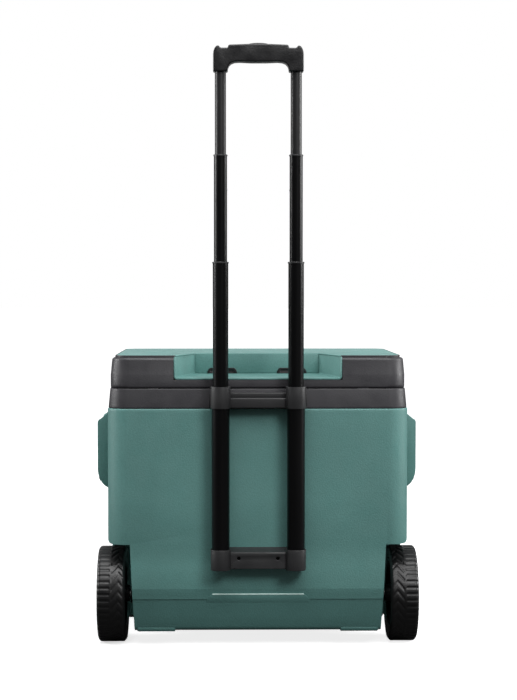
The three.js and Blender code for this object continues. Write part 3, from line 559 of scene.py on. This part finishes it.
def notch_cutter(margin):
    """The bay in the lid's back edge, grown by a margin into the lid."""
    deep = REAR - NOTCH_DEPTH - margin
    flare = (NOTCH_REAR - NOTCH_DEEP) / NOTCH_DEPTH
    wide, narrow = NOTCH_REAR + margin + flare * 20, NOTCH_DEEP + margin
    fall = (NOTCH_FLOOR_DEEP - NOTCH_FLOOR) / NOTCH_DEPTH
    plan = [(-wide, REAR + 20), (-narrow, deep), (narrow, deep), (wide, REAR + 20)]
    floor = [NOTCH_FLOOR - fall * 20, NOTCH_FLOOR_DEEP, NOTCH_FLOOR_DEEP, NOTCH_FLOOR - fall * 20]
    low = [(x, y, z - margin) for (x, y), z in zip(plan, floor)]
    return rings("cutter", [low, [(x, y, LID_TOP + 20) for x, y in plan]])


def lid_shell():
    """The charcoal lid: its sides, the step round its top, and the bay and hinges cut out."""
    levels = [heeled(lid_ring(z, inset)) for inset, z in (
        (6.0, LID_LOW), (5.6, LID_LOW + 0.3), (5.3, LID_LOW + 0.9), (5.2, LID_LOW + 1.5),
        (5.2, 474), (5.2, 475.2), (5.2, 476.5), (5.2, 477.6), (5.2, 479))]
    levels += [lid_ring(z, inset) for inset, z in ((5.2, 497.2), (5.4, 498.2), (7.6, 521.5))]
    levels += [lid_ring(REVEAL_LOW - 4.4 + along, 7.8 + across)
               for across, along in quarter(4.4, 6)]
    levels += [lid_ring(z, REVEAL_INSET + more) for z, more in (
        (REVEAL_LOW - 0.2, 0.2), (REVEAL_LOW + 0.2, 0.6), (LID_TOP - 0.9, 0.0),
        (LID_TOP - 0.2, 0.3), (LID_TOP, 0.9))]
    levels += [lid_ring(LID_TOP, 15.1), lid_ring(LID_TOP - 2.6, 15.3)]
    shell = rings("lid_shell", levels)
    hollow = rings("cutter", [lid_ring(LID_LOW - 2, 11), lid_ring(LID_TOP - 9, 14)])
    cutters = [notch_cutter(3.2), hollow]
    ys, zs = (HINGE[0] - 10, HINGE[0] + 5.0), (LID_LOW - 5, HINGE[1] + HINGE_R + 1)
    for _, side in SIDES:
        xs = (side * HINGE_X - 9.5, side * HINGE_X + 9.5)
        cutters.append(block("cutter", xs, ys, zs))
    carve(shell, cutters)
    return bevel(shell, 0.5, 2, 55)


place(lid_shell(), "lid", "charcoal_plastic", "lid_shell")


def hinge_block(name, x):
    """A block on the tub's rim, with an eye for the hinge pin."""
    y, z = HINGE
    outline = [(y - 4.4, 455), (y + 4.2, 455), (y + 4.4, z), *arc((y, z), 4.4, 15, 165, 8),
               (y - 4.4, z)]
    eye = pushed(name, outline, "x", x - 8.8, x + 8.8)
    return bevel(carve(eye, [pin_hole(x, 20, 2.2, HINGE)]), 0.4, 2)


for label, side in SIDES:
    eye = hinge_block(f"hinge_eye_{label}", side * HINGE_X)
    place(eye, "tub", "charcoal_plastic", f"hinge_block_{label}")


def lid_panel():
    """The green panel set in the lid's top."""
    inset = 15.6
    levels = [lid_ring(LID_TOP - 2.4, inset)]
    levels += [lid_ring(LID_TOP - 0.8 + along, inset + across)
               for across, along in quarter(0.8, 3)]
    panel = rings("lid_panel", levels)
    return bevel(carve(panel, [notch_cutter(0.0)]), 0.9, 3, 60)


place(lid_panel(), "lid", "shell_green", "lid_insert")


def lid_bay():
    """The lining of the lid's bay: a floor, two sides and the inner wall."""
    sections = []
    stations, floor_round, top = 24, 3.0, LID_TOP - 2.5
    for k in range(stations + 1):
        y = REAR - 5.6 - (NOTCH_DEPTH - 5.6) * (k / stations)
        depth = (REAR - y) / NOTCH_DEPTH
        half = NOTCH_REAR + (NOTCH_DEEP - NOTCH_REAR) * depth
        floor = NOTCH_FLOOR + (NOTCH_FLOOR_DEEP - NOTCH_FLOOR) * depth
        left = [(half, top), *((half - across, floor + floor_round - along)
                               for across, along in quarter(floor_round, 8))]
        line = left + [(x, floor) for x in (70, 35, 0, -35, -70)]
        line += [(-x, z) for x, z in reversed(left)]
        sections.append([(x, y, z) for x, z in line])
    points = [p for section in sections for p in section]
    inner_wall = tuple(range(stations * len(line), len(points)))
    lining = body_from("lid_bay", points, [*quads(sections, around=False), inner_wall])
    wall = max(lining.data.polygons, key=lambda f: len(f.vertices))
    if wall.normal.dot(Vector((0, -1, 0))) > 0:
        lining.data.flip_normals()
    thicken(lining, 2.8)
    return bevel(lining, 0.7, 2, 60)


def bay_wall_plate():
    """A plain plate over the bay's inner wall."""
    outline = rounded(-NOTCH_DEEP + 0.9, NOTCH_DEEP - 0.9, NOTCH_FLOOR_DEEP + 0.9,
                      LID_TOP - 0.9, 1.2, 3)
    return bevel(pushed("bay_wall_plate", outline, "y", BAY_WALL - 1.5, BAY_WALL + 1.0), 0.5, 2)


place(lid_bay(), "lid", "shell_green")
place(bay_wall_plate(), "lid", "shell_green")


def outlet(name, side):
    """A spout at the foot of the bay's inner wall."""
    base, x0 = NOTCH_FLOOR_DEEP + 0.2, side * SPOUT_X
    outline = [(-28, base), (28, base), (27.4, base + 4), *arc((20.5, base + 4.3), 6, 12, 90, 5),
               *arc((-20.5, base + 4.3), 6, 90, 168, 5), (-27.4, base + 4)]
    spout = pushed(name, [(x0 + x, z) for x, z in outline], "y", BAY_WALL - 14, BAY_WALL + 4)
    mouth = [(x0 + x, z) for x, z in rounded(-22, 22, base + 1.8, base + 7.6, 2.6, 4)]
    carve(spout, [pushed("cutter", mouth, "y", BAY_WALL + 1.6, BAY_WALL + 9)])
    return bevel(spout, 0.6, 2)


for label, side in SIDES:
    place(outlet(f"drain_spout_{label}", side), "lid", "black_plastic", f"lid_outlet_{label}")


def lid_liner():
    """The white underside of the lid, which dips into the tub."""
    levels = [lid_ring(z, inset) for z, inset in (
        (RIM_TOP - 11, 47), (RIM_TOP - 10.4, 45.2), (RIM_TOP - 9, 44.2), (LID_LOW, 42.7),
        (LID_LOW + 0.1, 42.4), (LID_LOW + 0.1, 19), (LID_LOW + 2.6, 19))]
    return settle(rings("lid_liner", levels))


place(lid_liner(), "lid", "liner_white", "lid_liner")

# ---- Pull handle -------------------------------------------------------------------------
# Radius, foot, top and body of each tube.
TUBES = {"outer": (16.0, 155.3, 474.0, "tub"), "lower": (13.9, 399.8, 699.8, "lower_stage"),
         "middle": (11.75, 628.3, 890.3, "middle_stage"),
         "upper": (9.95, 815.0, 1061.0, "upper_stage")}
TUBE_WALL = 1.3
SLEEVE_R, BORE_R = 18.0, 16.2  # a bracket's sleeve and its bore
BORE_FLOOR = 155
ARCH_R = 1500  # the flat arch under the lower bracket


def tube(label, stage, side):
    """One telescoping tube; the two middle ones have a ferrule at their tops."""
    radius, low, high, body = TUBES[stage]
    inner = radius - TUBE_WALL
    profile = [(inner, low), (radius - 0.4, low), (radius, low + 0.5), (radius, high - 0.6),
               (radius - 0.5, high), (inner, high)]
    made = turned(f"{stage}_pole_{label}", profile, "z", (side * POLE_X, POLE_Y), 56)
    # the upper tubes take the lighter copy of the tube black, a painted sheen
    finish = "top_stage_tube_sheen" if stage == "upper" else "tube_black"
    place(settle(made), body, "tube_black", f"{stage}_tube_{label}", material=finish)
    if stage in ("lower", "middle"):
        ring = [(radius + 0.05, high - 2.6), (radius + 0.9, high - 2.2), (radius + 0.9, high - 0.3),
                (radius + 0.3, high + 0.4), (radius - 1.0, high + 0.4), (radius - 1.0, high - 0.1)]
        made = turned(f"{stage}_ferrule_{label}", ring, "z", (side * POLE_X, POLE_Y), 56)
        place(settle(made), body, "black_plastic")


for label, side in SIDES:
    for stage in TUBES:
        tube(label, stage, side)


def sleeve(name, side, low, high, back):
    """A bracket's sleeve round a pole, reaching back to the tub's wall."""
    x = side * POLE_X
    outline = rounded(x - SLEEVE_R, x + SLEEVE_R, back, POLE_Y + SLEEVE_R, SLEEVE_R - 0.6, 12)
    return pushed(name, outline, "z", low, high)


def bore(side, low, high, radius):
    """A cutter round a pole."""
    profile = [(0, low), (radius, low), (radius, high), (0, high)]
    return turned("cutter", profile, "z", (side * POLE_X, POLE_Y), 48)


def upper_bracket():
    """Two sleeves and a bar that hold the poles at the tub's rim."""
    low, high, deck = 438.5, 477.3, 466.0
    for label, side in SIDES:
        made = sleeve(f"upper_sleeve_{label}", side, low, high, REAR + 9.5)
        carve(made, [bore(side, low - 5, 474.3, BORE_R), bore(side, 470, high + 5, 14.2)])
        place(bevel(made, 0.8, 3), "tub", "charcoal_plastic", material="bracket_black")
        foot = block(f"upper_foot_{label}", (side * POLE_X - 17, side * POLE_X + 17),
                     (REAR - 0.5, REAR + 11), (low + 1, deck))
        place(bevel(foot, 1.5, 3), "tub", "charcoal_plastic", material="bracket_black")
    span_x = (-POLE_X + 16.3, POLE_X - 16.3)
    bar = block("upper_bar", span_x, (REAR - 0.5, REAR + 26), (low, 457))
    place(bevel(bar, 2.2, 4), "tub", "charcoal_plastic", "upper_bracket",
          material="bracket_black")
    rail = block("upper_rail", span_x, (REAR - 0.5, REAR + 20), (456, deck))
    place(bevel(rail, 1.6, 3), "tub", "charcoal_plastic", material="bracket_black")
    plate = [(-88, 441), (88, 441), (88, 463), (-88, 463)]
    plate = bevel(pushed("upper_plate", plate, "y", REAR - 0.4, REAR + 1.8), 0.6, 2)
    place(plate, "tub", "charcoal_plastic", material="bracket_black")


def lower_bracket():
    """Two sleeves and an arched bar that hold the poles at the wheels' height."""
    low, high = 148.6, 185.6
    for label, side in SIDES:
        made = sleeve(f"lower_sleeve_{label}", side, low, high, REAR + 1)
        carve(made, [bore(side, BORE_FLOOR, high + 5, BORE_R)])
        place(bevel(made, 0.8, 3), "tub", "charcoal_plastic", material="bracket_black")
    section = [(REAR - 1, low + 0.4), (REAR + 27, low + 0.4), (REAR + 29, low + 2.4),
               (REAR + 29, 178.4), (REAR + 28, 180), (REAR + 2, high - 0.4),
               (REAR - 1, high - 0.4)]
    bar = pushed("lower_bar", section, "x", -POLE_X + 12, POLE_X - 12)
    well = [(0, REAR + 18.5), (4.9, REAR + 18.5), (4.9, REAR + 25), (3.2, REAR + 26),
            (3.2, REAR + 40), (0, REAR + 40)]
    cutters = [turned("cutter", well, "y", (side * SCREW_X, SCREW_Z), 32) for _, side in SIDES]
    arch = [(0, REAR - 5), (ARCH_R, REAR - 5), (ARCH_R, REAR + 34), (0, REAR + 34)]
    cutters.append(turned("cutter", arch, "y", (0, low + 1.9 - ARCH_R), 360))
    cutters += [bore(side, BORE_FLOOR, high + 5, BORE_R) for _, side in SIDES]
    carve(bar, cutters)
    place(bevel(bar, 1.0, 3, 50), "tub", "charcoal_plastic", "lower_bracket",
          material="bracket_black")
    plate = rounded(-85.4, 85.4, low, high + 0.3, 7, 5)
    plate = bevel(pushed("lower_plate", plate, "y", REAR - 1.6, REAR + 1.6), 0.5, 2)
    place(plate, "tub", "black_plastic")


upper_bracket()
lower_bracket()


def screw(name, x, z):
    """A cross-head screw in the lower bracket."""
    face = REAR + 18.4
    profile = [(0, REAR - 18), (2.2, REAR - 18), (2.2, face), (4.2, face + 0.2), (4.2, face + 1.2),
               (3.6, face + 2.4), (2.2, face + 3.1), (0, face + 3.3)]
    ys = (face + 1.6, face + 5)
    cross = [block("cutter", (x - across, x + across), ys, (z - up, z + up))
             for across, up in ((2.4, 0.45), (0.45, 2.4))]
    return carve(turned(name, profile, "y", (x, z), 32), cross)


for label, side in SIDES:
    head = screw(f"bracket_screw_{label}", side * SCREW_X, SCREW_Z)
    place(head, "tub", "black_steel", f"lower_bracket_screw_{label}")


def grip():
    """The grip: two legs, a finger space under its middle, and a slot for the release key."""
    half, low, high = GRIP_HALF, GRIP_LOW, GRIP_HIGH
    under = [(54.3, low), (54, 1042.4), (52.1, 1047.6), (48.4, 1051.4), (42.6, 1053.8),
             (34, 1054.6), (14, 1053.7)]
    ear = [(half - 9 + 9 * math.cos(a), high - 17 + 17 * math.sin(a))
           for a in (math.radians(10 * k) for k in range(10))]
    top = [*ear, (half - 10.4, high - 0.8), (half - 12.6, high - 3.4), (half - 14.4, high - 4),
           (half - 25, high - 4), (half - 26.4, high - 3), (half - 27, high + 0.8),
           (half - 30, high + 1.4), (20, high + 2.6)]
    right = [*under[::-1], (half, low), *top]
    outline = [*right, *[(-x, z) for x, z in reversed(right)]]
    made = pushed("pull_grip", outline, "y", POLE_Y - 15, POLE_Y + 15)
    slot = rounded(-19.8, 19.8, POLE_Y - 8.2, POLE_Y + 8.2, 3, 4)
    carve(made, [pushed("cutter", slot, "z", 1065.6, 1100)])
    return bevel(made, 5.0, 6, 55)


place(grip(), "upper_stage", "black_plastic", "grip", material="grip_black")


def release_key():
    """The key in the grip, with a low crown."""
    half, rise = 19.2, 3.4
    angles = [math.pi * k / 12 for k in range(1, 12)]
    crown = [(half * math.cos(a), BUTTON_EDGE + rise * math.sin(a)) for a in angles]
    outline = [(-half, 1071), (half, 1071), (half, BUTTON_EDGE), *crown, (-half, BUTTON_EDGE)]
    return bevel(pushed("release_key", outline, "y", POLE_Y - 7.5, POLE_Y + 7.5), 1.4, 3, 50)


def lock_pin(name, side):
    """A pin that shows on the inner side of a middle tube."""
    profile = [(r, side * (POLE_X - inward)) for r, inward in (
        (0, 10.6), (2.3, 10.6), (2.3, 11.9), (1.6, 12.3), (0, 12.4))]
    return settle(turned(name, profile, "x", (POLE_Y, 828), 24))


place(release_key(), "button", "black_plastic", "release_button")
for label, side in SIDES:
    place(lock_pin(f"lock_pin_{label}", side), "middle_stage", "steel")

# ---- Wheels ------------------------------------------------------------------------------
RIBS = 48
TREAD_DEPTH = 0.9
SPOKES = 8


def smooth_step(t):
    """A soft step from 0 to 1."""
    t = min(max(t, 0.0), 1.0)
    return t * t * (3 - 2 * t)


def wave(phase, fill, soft):
    """1 on the blocks of a repeating pattern and 0 in its grooves, with soft edges."""
    away = abs((phase % 1.0) - 0.5)
    return 1 - smooth_step((away - fill / 2) / soft + 0.5)


def tread(angle, across):
    """Height of the tread, 0 to 1, at a place round and across the tyre."""
    turn = angle / (2 * math.pi)
    if across > 0.56:
        return wave(turn * RIBS, 0.62, 0.16)
    if across > 0.48:
        return 1.0
    slant = 0.9 * abs(across - 0.24) / 0.24
    rows = wave(turn * RIBS / 1.5 + slant, 0.66, 0.16)
    return rows * smooth_step((across - 0.05) / 0.05)


def tyre(name, side):
    """A tyre: its crown is cut by the tread, round its whole turn."""
    mid, half_width = (WHEEL_IN + WHEEL_OUT) / 2, (WHEEL_OUT - WHEEL_IN) / 2
    across_steps, turns = 44, RIBS * 8
    inner_side = [(66.0, 5 - half_width), (70, 3.4 - half_width), (74, 2.6 - half_width),
                  (80, 0.8 - half_width)]
    outer_side = [(80, half_width - 0.6), (74, half_width - 2.6), (70, half_width - 3.4),
                  (66.0, half_width - 5)]
    crown = []
    for k in range(across_steps + 1):
        s = -1 + 2 * k / across_steps
        edge = max(abs(s) - 0.74, 0) / 0.26
        crown.append((WHEEL_R - 5.0 * edge ** 2.6, s * half_width, (s + 1) / 2))
    levels = []
    for n in range(turns):
        a = 2 * math.pi * n / turns
        level = [*inner_side, *((r - TREAD_DEPTH * (1 - tread(a, across)), x)
                                for r, x, across in crown), *outer_side]
        levels.append([(side * (mid + x), AXLE[0] + r * math.cos(a), AXLE[1] + r * math.sin(a))
                       for r, x in level])
    return settle(rings(name, levels, loop=True), 40)


def wheel_rim(name, side):
    """The rim and the dished disc of a wheel."""
    profile = [(6.6, 236), (15, 236), (15.6, 237), (17, 256), (22, 259), (52, 261), (57, 258),
               (58.5, 247), (60, 244), (65.6, 244), (65.8, 247), (64.8, 250), (64.8, 280),
               (65.8, 284), (65.6, 286.6), (62, 287), (59, 286), (57.5, 280), (55, 272), (50, 268.5),
               (24, 271), (21, 274), (20, 281), (18.5, 282), (6.6, 282)]
    return settle(turned(name, [(r, side * x) for r, x in profile], "x", AXLE, 96))


def hub_cover(name, side):
    """The cap over the axle's end."""
    profile = [(0, 284.6), (15, 284.6), (19.5, 282.6), (21.6, 282.8), (21.9, 284.4), (20.6, 286.4),
               (16, 288.6), (13.2, 289.2), (12.4, 288.4), (0, 288.9)]
    return settle(turned(name, [(r, side * x) for r, x in profile], "x", AXLE, 64))


def spoke(name, side, angle):
    """A raised spoke on the wheel's outer face."""
    levels = []
    for r, half, face in ((17, 7.5, 279), (24, 6.8, 280), (40, 6.0, 281.5), (54, 7.0, 284),
                          (61, 9, 286)):
        level = []
        for off, x in ((-half, 266), (half, 266), (half - 1.2, face), (1.2 - half, face)):
            y = AXLE[0] + r * math.cos(angle) - off * math.sin(angle)
            z = AXLE[1] + r * math.sin(angle) + off * math.cos(angle)
            level.append((side * x, y, z))
        levels.append(level)
    return bevel(rings(name, levels), 1.2, 3, 30)


for label, side in SIDES:
    body = f"wheel_{label}"
    place(tyre(f"tread_{label}", side), body, "tyre_rubber", f"tyre_{label}")
    place(wheel_rim(f"rim_disc_{label}", side), body, "black_plastic", f"wheel_rim_{label}")
    for n in range(SPOKES):
        made = spoke(f"spoke_{label}_{n}", side, 2 * math.pi * n / SPOKES)
        place(made, body, "black_plastic")
    place(hub_cover(f"hub_cover_{label}", side), body, "black_plastic", f"hub_cap_{label}")

# ---- Feet --------------------------------------------------------------------------------
def front_foot(name, side):
    """A foot at the front, a little wider at its top."""
    levels = []
    for z, grow in ((0, -1.5), (0.6, -0.4), (2, 0), (16, 1.2), (TUB_BOTTOM - 0.4, 3)):
        outline = rounded(210 - grow, 254.5 + grow, FRONT + 29.6 - grow, FRONT + 89.5 + grow, 8, 6)
        levels.append(mirrored([(*p, z) for p in outline], side))
    return settle(rings(name, levels))


for label, side in SIDES:
    place(front_foot(f"foot_{label}", side), "tub", "charcoal_plastic", f"front_foot_{label}")

# ---- Carry handles -----------------------------------------------------------------------
def bail(name, side):
    """A carry handle: one bar with two flat arms, bent round generous corners."""
    path = [(REACH - 7.5, PIVOT[1] + 8.6), (REACH - 7.5, PIVOT[1]), (REACH - 7.5, 330)]
    path += [(y, z) for y, z in arc((REACH - 21.5, 313), 14, 0, -90, 8)]
    full = path + [(-y, z) for y, z in reversed(path)]
    levels = []
    for k, (y, z) in enumerate(full):
        before, after = full[max(k - 1, 0)], full[min(k + 1, len(full) - 1)]
        along = Vector((after[0] - before[0], after[1] - before[1])).normalized()
        across = Vector((-along[1], along[0]))
        wide, deep = (10.5, 10.5) if z < 315 else (7.2, 8.8)
        if k in (0, len(full) - 1):
            wide, deep = 5.0, 4.0
        level = []
        for p in range(20):
            a = 2 * math.pi * p / 20
            ca, sa = math.cos(a), math.sin(a)
            u = wide * math.copysign(abs(ca) ** 0.6, ca)
            v = deep * math.copysign(abs(sa) ** 0.6, sa)
            level.append((side * (PIVOT[0] + v), MID + y + across[0] * u, z + across[1] * u))
        levels.append(level)
    return settle(rings(name, levels), 50)


def peg(name, side, end):
    """A carry handle's peg; its end is 1 at the rear and -1 at the front."""
    profile = [(0, MID + end * 62), (5, MID + end * 62), (5, MID + end * 78.6),
               (0, MID + end * 79)]
    return settle(turned(name, profile, "y", (side * PIVOT[0], PIVOT[1]), 32))


for label, side in SIDES:
    body = f"carry_bail_{label}"
    place(bail(f"carry_bar_{label}", side), body, "charcoal_plastic", f"carry_handle_{label}")
    for where, end in (("rear", 1), ("front", -1)):
        place(peg(f"carry_peg_{label}_{where}", side, end), body, "charcoal_plastic")

# ---- Latches -----------------------------------------------------------------------------
def latch(name, x):
    """A rubber strap that hangs from the lid, with its pull tab and the tab's ridges."""
    face, back = LATCH_Y - 3.5, LATCH_Y + 3.5
    side_view = [(back, 440), (back, LATCH_Z - 2), *arc((LATCH_Y, LATCH_Z), 6.5, 0, 180, 8),
                 (face - 0.2, LATCH_Z - 8), (face, 470), (face, 452), (face - 1.2, 447),
                 (face - 3, 441), (face - 3, 436.6), (face - 1.5, 436.2), (face + 1, 438)]
    strap = pushed(name, side_view, "x", x - 14, x + 14)
    channel = block("cutter", (x - 10, x + 10), (back - 3.2, back + 9), (430, 465))
    carve(strap, [channel, pin_hole(x, 30, 2.8, (LATCH_Y, LATCH_Z))])
    pieces = [bevel(strap, 0.9, 3)]
    tab = rounded(x - 21, x + 21, 436.2, 450, 4, 5)
    pieces.append(bevel(pushed(name + "_tab", tab, "y", face - 3, face + 1.6), 1, 3))
    for k in range(3):
        z = 439.4 + 3.4 * k
        ridge = block(f"{name}_ridge_{k}", (x - 16, x + 16), (face - 3.4, face - 2), (z, z + 1.5))
        pieces.append(bevel(ridge, 0.3, 2))
    return pieces


def latch_ear(name, x):
    """One of the lid's two ears beside a strap."""
    outline = [(FRONT + 8, LATCH_Z - 7), (FRONT + 8, LATCH_Z + 7), (LATCH_Y + 1, LATCH_Z + 7),
               *arc((LATCH_Y, LATCH_Z), 7, 90, 270, 10), (LATCH_Y + 1, LATCH_Z - 7)]
    return bevel(pushed(name, outline, "x", x - 3, x + 3), 0.7, 2)


def keeper(label, x):
    """The plate and the nub on the tub that hold a strap."""
    back = FRONT + 1.2
    outline = rounded(x - 24, x + 24, 441, 466, 4, 4)
    plate = bevel(pushed(f"keeper_plate_{label}", outline, "y", back - 3, back), 0.7, 2)
    place(plate, "tub", "charcoal_plastic", f"latch_keeper_{label}")
    nub = block(f"keeper_nub_{label}", (x - 8, x + 8), (LATCH_Y + 1, back - 1), (449, 458))
    place(bevel(nub, 1, 3), "tub", "charcoal_plastic")


for label, side in SIDES:
    x, body = side * LATCH_X, f"latch_strap_{label}"
    strap, *extras = latch(f"latch_strap_piece_{label}", x)
    place(strap, body, "latch_rubber", f"latch_{label}")
    for extra in extras:
        place(extra, body, "latch_rubber")
    for where, end in (("inner", -1), ("outer", 1)):
        made = latch_ear(f"latch_ear_{label}_{where}", x + end * 20)
        place(made, "lid", "charcoal_plastic")
    keeper(label, x)

# ---- Drain -------------------------------------------------------------------------------
def drain_ring():
    """The fitting through the tub's side, with its flange."""
    profile = [(8, 237), (12, 237), (12, 273.3), (17.4, 273.3), (18, 274), (18, 275.8),
               (17, 276.5), (8, 276.5)]
    return settle(turned("drain_ring", profile, "x", DRAIN, 48))


def drain_cap():
    """The plug's disc and stem."""
    profile = [(0, 262), (7.4, 262), (7.4, 277), (15.6, 277), (16, 277.6), (16, 282),
               (15, 283.4), (0, 283.6)]
    return settle(turned("drain_cap_disc", profile, "x", DRAIN, 48))


place(drain_ring(), "tub", "liner_white", "drain_fitting")
place(drain_cap(), "drain_cap", "charcoal_plastic", "drain_plug")
bar = block("drain_cap_bar", (282, 288), (DRAIN[0] - 13, DRAIN[0] + 13),
            (DRAIN[1] - 3.5, DRAIN[1] + 3.5))
place(bevel(bar, 1.4, 3), "drain_cap", "charcoal_plastic")

# ---- Solids that stay as they are, with a better finish -----------------------------------
def pairs(*names):
    """The left and the right solid of each name."""
    return [f"{name}_{label}" for name in names for label, _ in SIDES]


KEPT = {"foam": ["insulation_foam", "lid_foam"],
        "steel": ["button_spring", *pairs("hinge_pin", "latch_pin", "axle", "release_rod")],
        "black_plastic": pairs("axle_bush", "lower_glide", "middle_glide", "upper_glide")}
for slot, names in KEPT.items():
    for name in names:
        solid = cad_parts[name]
        solid.data.materials.clear()
        solid.data.materials.append(MATERIALS[slot])


# ---- Floor, backdrop and light -----------------------------------------------------------
def seen_or_lit(tree, seen, lit):
    """One shader for what the camera sees and another for what lights the object."""
    mix = node(tree, "ShaderNodeMixShader")
    tree.links.new(node(tree, "ShaderNodeLightPath").outputs["Is Camera Ray"], mix.inputs[0])
    tree.links.new(lit, mix.inputs[1])
    tree.links.new(seen, mix.inputs[2])
    return mix.outputs[0]


def remap(tree, source, start, end, low, high):
    """Takes a value from start..end to low..high, held at both ends."""
    made = node(tree, "ShaderNodeMapRange")
    for socket, value in (("From Min", start), ("From Max", end), ("To Min", low), ("To Max", high)):
        made.inputs[socket].default_value = value
    tree.links.new(source, made.inputs["Value"])
    return made.outputs[0]


def larger(tree, first, second):
    """The larger of two values."""
    made = node(tree, "ShaderNodeMath", operation="MAXIMUM")
    tree.links.new(first, made.inputs[0])
    tree.links.new(second, made.inputs[1])
    return made.outputs[0]


def floor_glow(tree):
    """The floor's glow: white far away, painted light under the object and to its right that lifts
    its shadow, and a painted shadow at the object's left.
    """
    position = node(tree, "ShaderNodeNewGeometry").outputs["Position"]
    distance = node(tree, "ShaderNodeVectorMath", operation="LENGTH")
    tree.links.new(position, distance.inputs[0])
    split = node(tree, "ShaderNodeSeparateXYZ")
    tree.links.new(position, split.inputs[0])
    across = split.outputs["X"]
    # painted shadow at the object's left; painted light under the object and to its right
    beside = larger(tree, remap(tree, across, 0.22, 0.36, 0.82, 0.3),
                    remap(tree, across, 0.36, 0.8, 0.3, 0.9))
    return larger(tree, beside, remap(tree, distance.outputs["Value"], 0.9, 2.6, 0.0, 0.9))


def floor_finish():
    """A pale floor to the camera that throws little light back at the object."""
    material = bpy.data.materials.new("floor")
    material.use_nodes = True
    tree = material.node_tree
    pale = node(tree, "ShaderNodeBsdfDiffuse", Color=(0.7, 0.7, 0.7, 1)).outputs[0]
    dim = node(tree, "ShaderNodeBsdfDiffuse", Color=(0.06, 0.06, 0.06, 1)).outputs[0]
    glow = node(tree, "ShaderNodeEmission")
    tree.links.new(floor_glow(tree), glow.inputs["Strength"])
    lifted = node(tree, "ShaderNodeAddShader")
    tree.links.new(pale, lifted.inputs[0])
    tree.links.new(glow.outputs[0], lifted.inputs[1])
    tree.links.new(seen_or_lit(tree, lifted.outputs[0], dim),
                   tree.nodes["Material Output"].inputs["Surface"])
    return material


corners = [(-FLOOR_SIZE, -FLOOR_SIZE, 0), (FLOOR_SIZE, -FLOOR_SIZE, 0),
           (FLOOR_SIZE, FLOOR_SIZE, 0), (-FLOOR_SIZE, FLOOR_SIZE, 0)]
floor = body_from("floor", corners, [(0, 1, 2, 3)])
floor.data.materials.append(floor_finish())


def light_world():
    """White to the camera; to the object it is grey above and nearly black below."""
    world = bpy.data.worlds.new("world")
    world.use_nodes = True
    tree = world.node_tree
    white = node(tree, "ShaderNodeBackground", Color=(1, 1, 1, 1)).outputs[0]
    split = node(tree, "ShaderNodeSeparateXYZ")
    tree.links.new(node(tree, "ShaderNodeTexCoord").outputs["Generated"], split.inputs[0])
    sky = node(tree, "ShaderNodeBackground")
    colour = ramp(tree, split.outputs["Z"], (0.05, 0.05, 0.052), (0.58, 0.59, 0.60), (0.0, 1.0))
    tree.links.new(colour, sky.inputs["Color"])
    tree.links.new(seen_or_lit(tree, white, sky.outputs[0]),
                   tree.nodes["World Output"].inputs["Surface"])
    return world


def area_light(name, at, target, size, watts):
    """A round light aimed at a target; places and sizes are in metres."""
    light = bpy.data.lights.new(name, "AREA")
    light.shape = "DISK"
    light.size = size
    light.energy = watts
    lamp = bpy.data.objects.new(name, light)
    lamp.location = at
    lamp.rotation_euler = (Vector(target) - Vector(at)).to_track_quat("-Z", "Y").to_euler()
    scene.collection.objects.link(lamp)


scene.world = light_world()
area_light("key_light", (-1.7, 3.4, 2.8), (0, 0, 0.35), 1.5, 82)
area_light("front_light", (0.1, 1.6, 3.4), (0, 0, 0.4), 2.5, 94)
area_light("top_light", (0.3, -0.6, 3.2), (0, 0, 0.3), 2.0, 8)
area_light("right_light", (-2.9, -0.1, 1.3), (0, 0, 0.4), 1.3, 72)
area_light("left_light", (2.9, -0.1, 1.3), (0, 0, 0.4), 1.3, 64)
area_light("back_light", (0.2, -3.6, 1.6), (0, 0, 0.5), 3.4, 14)
scene.view_settings.view_transform = "Standard"
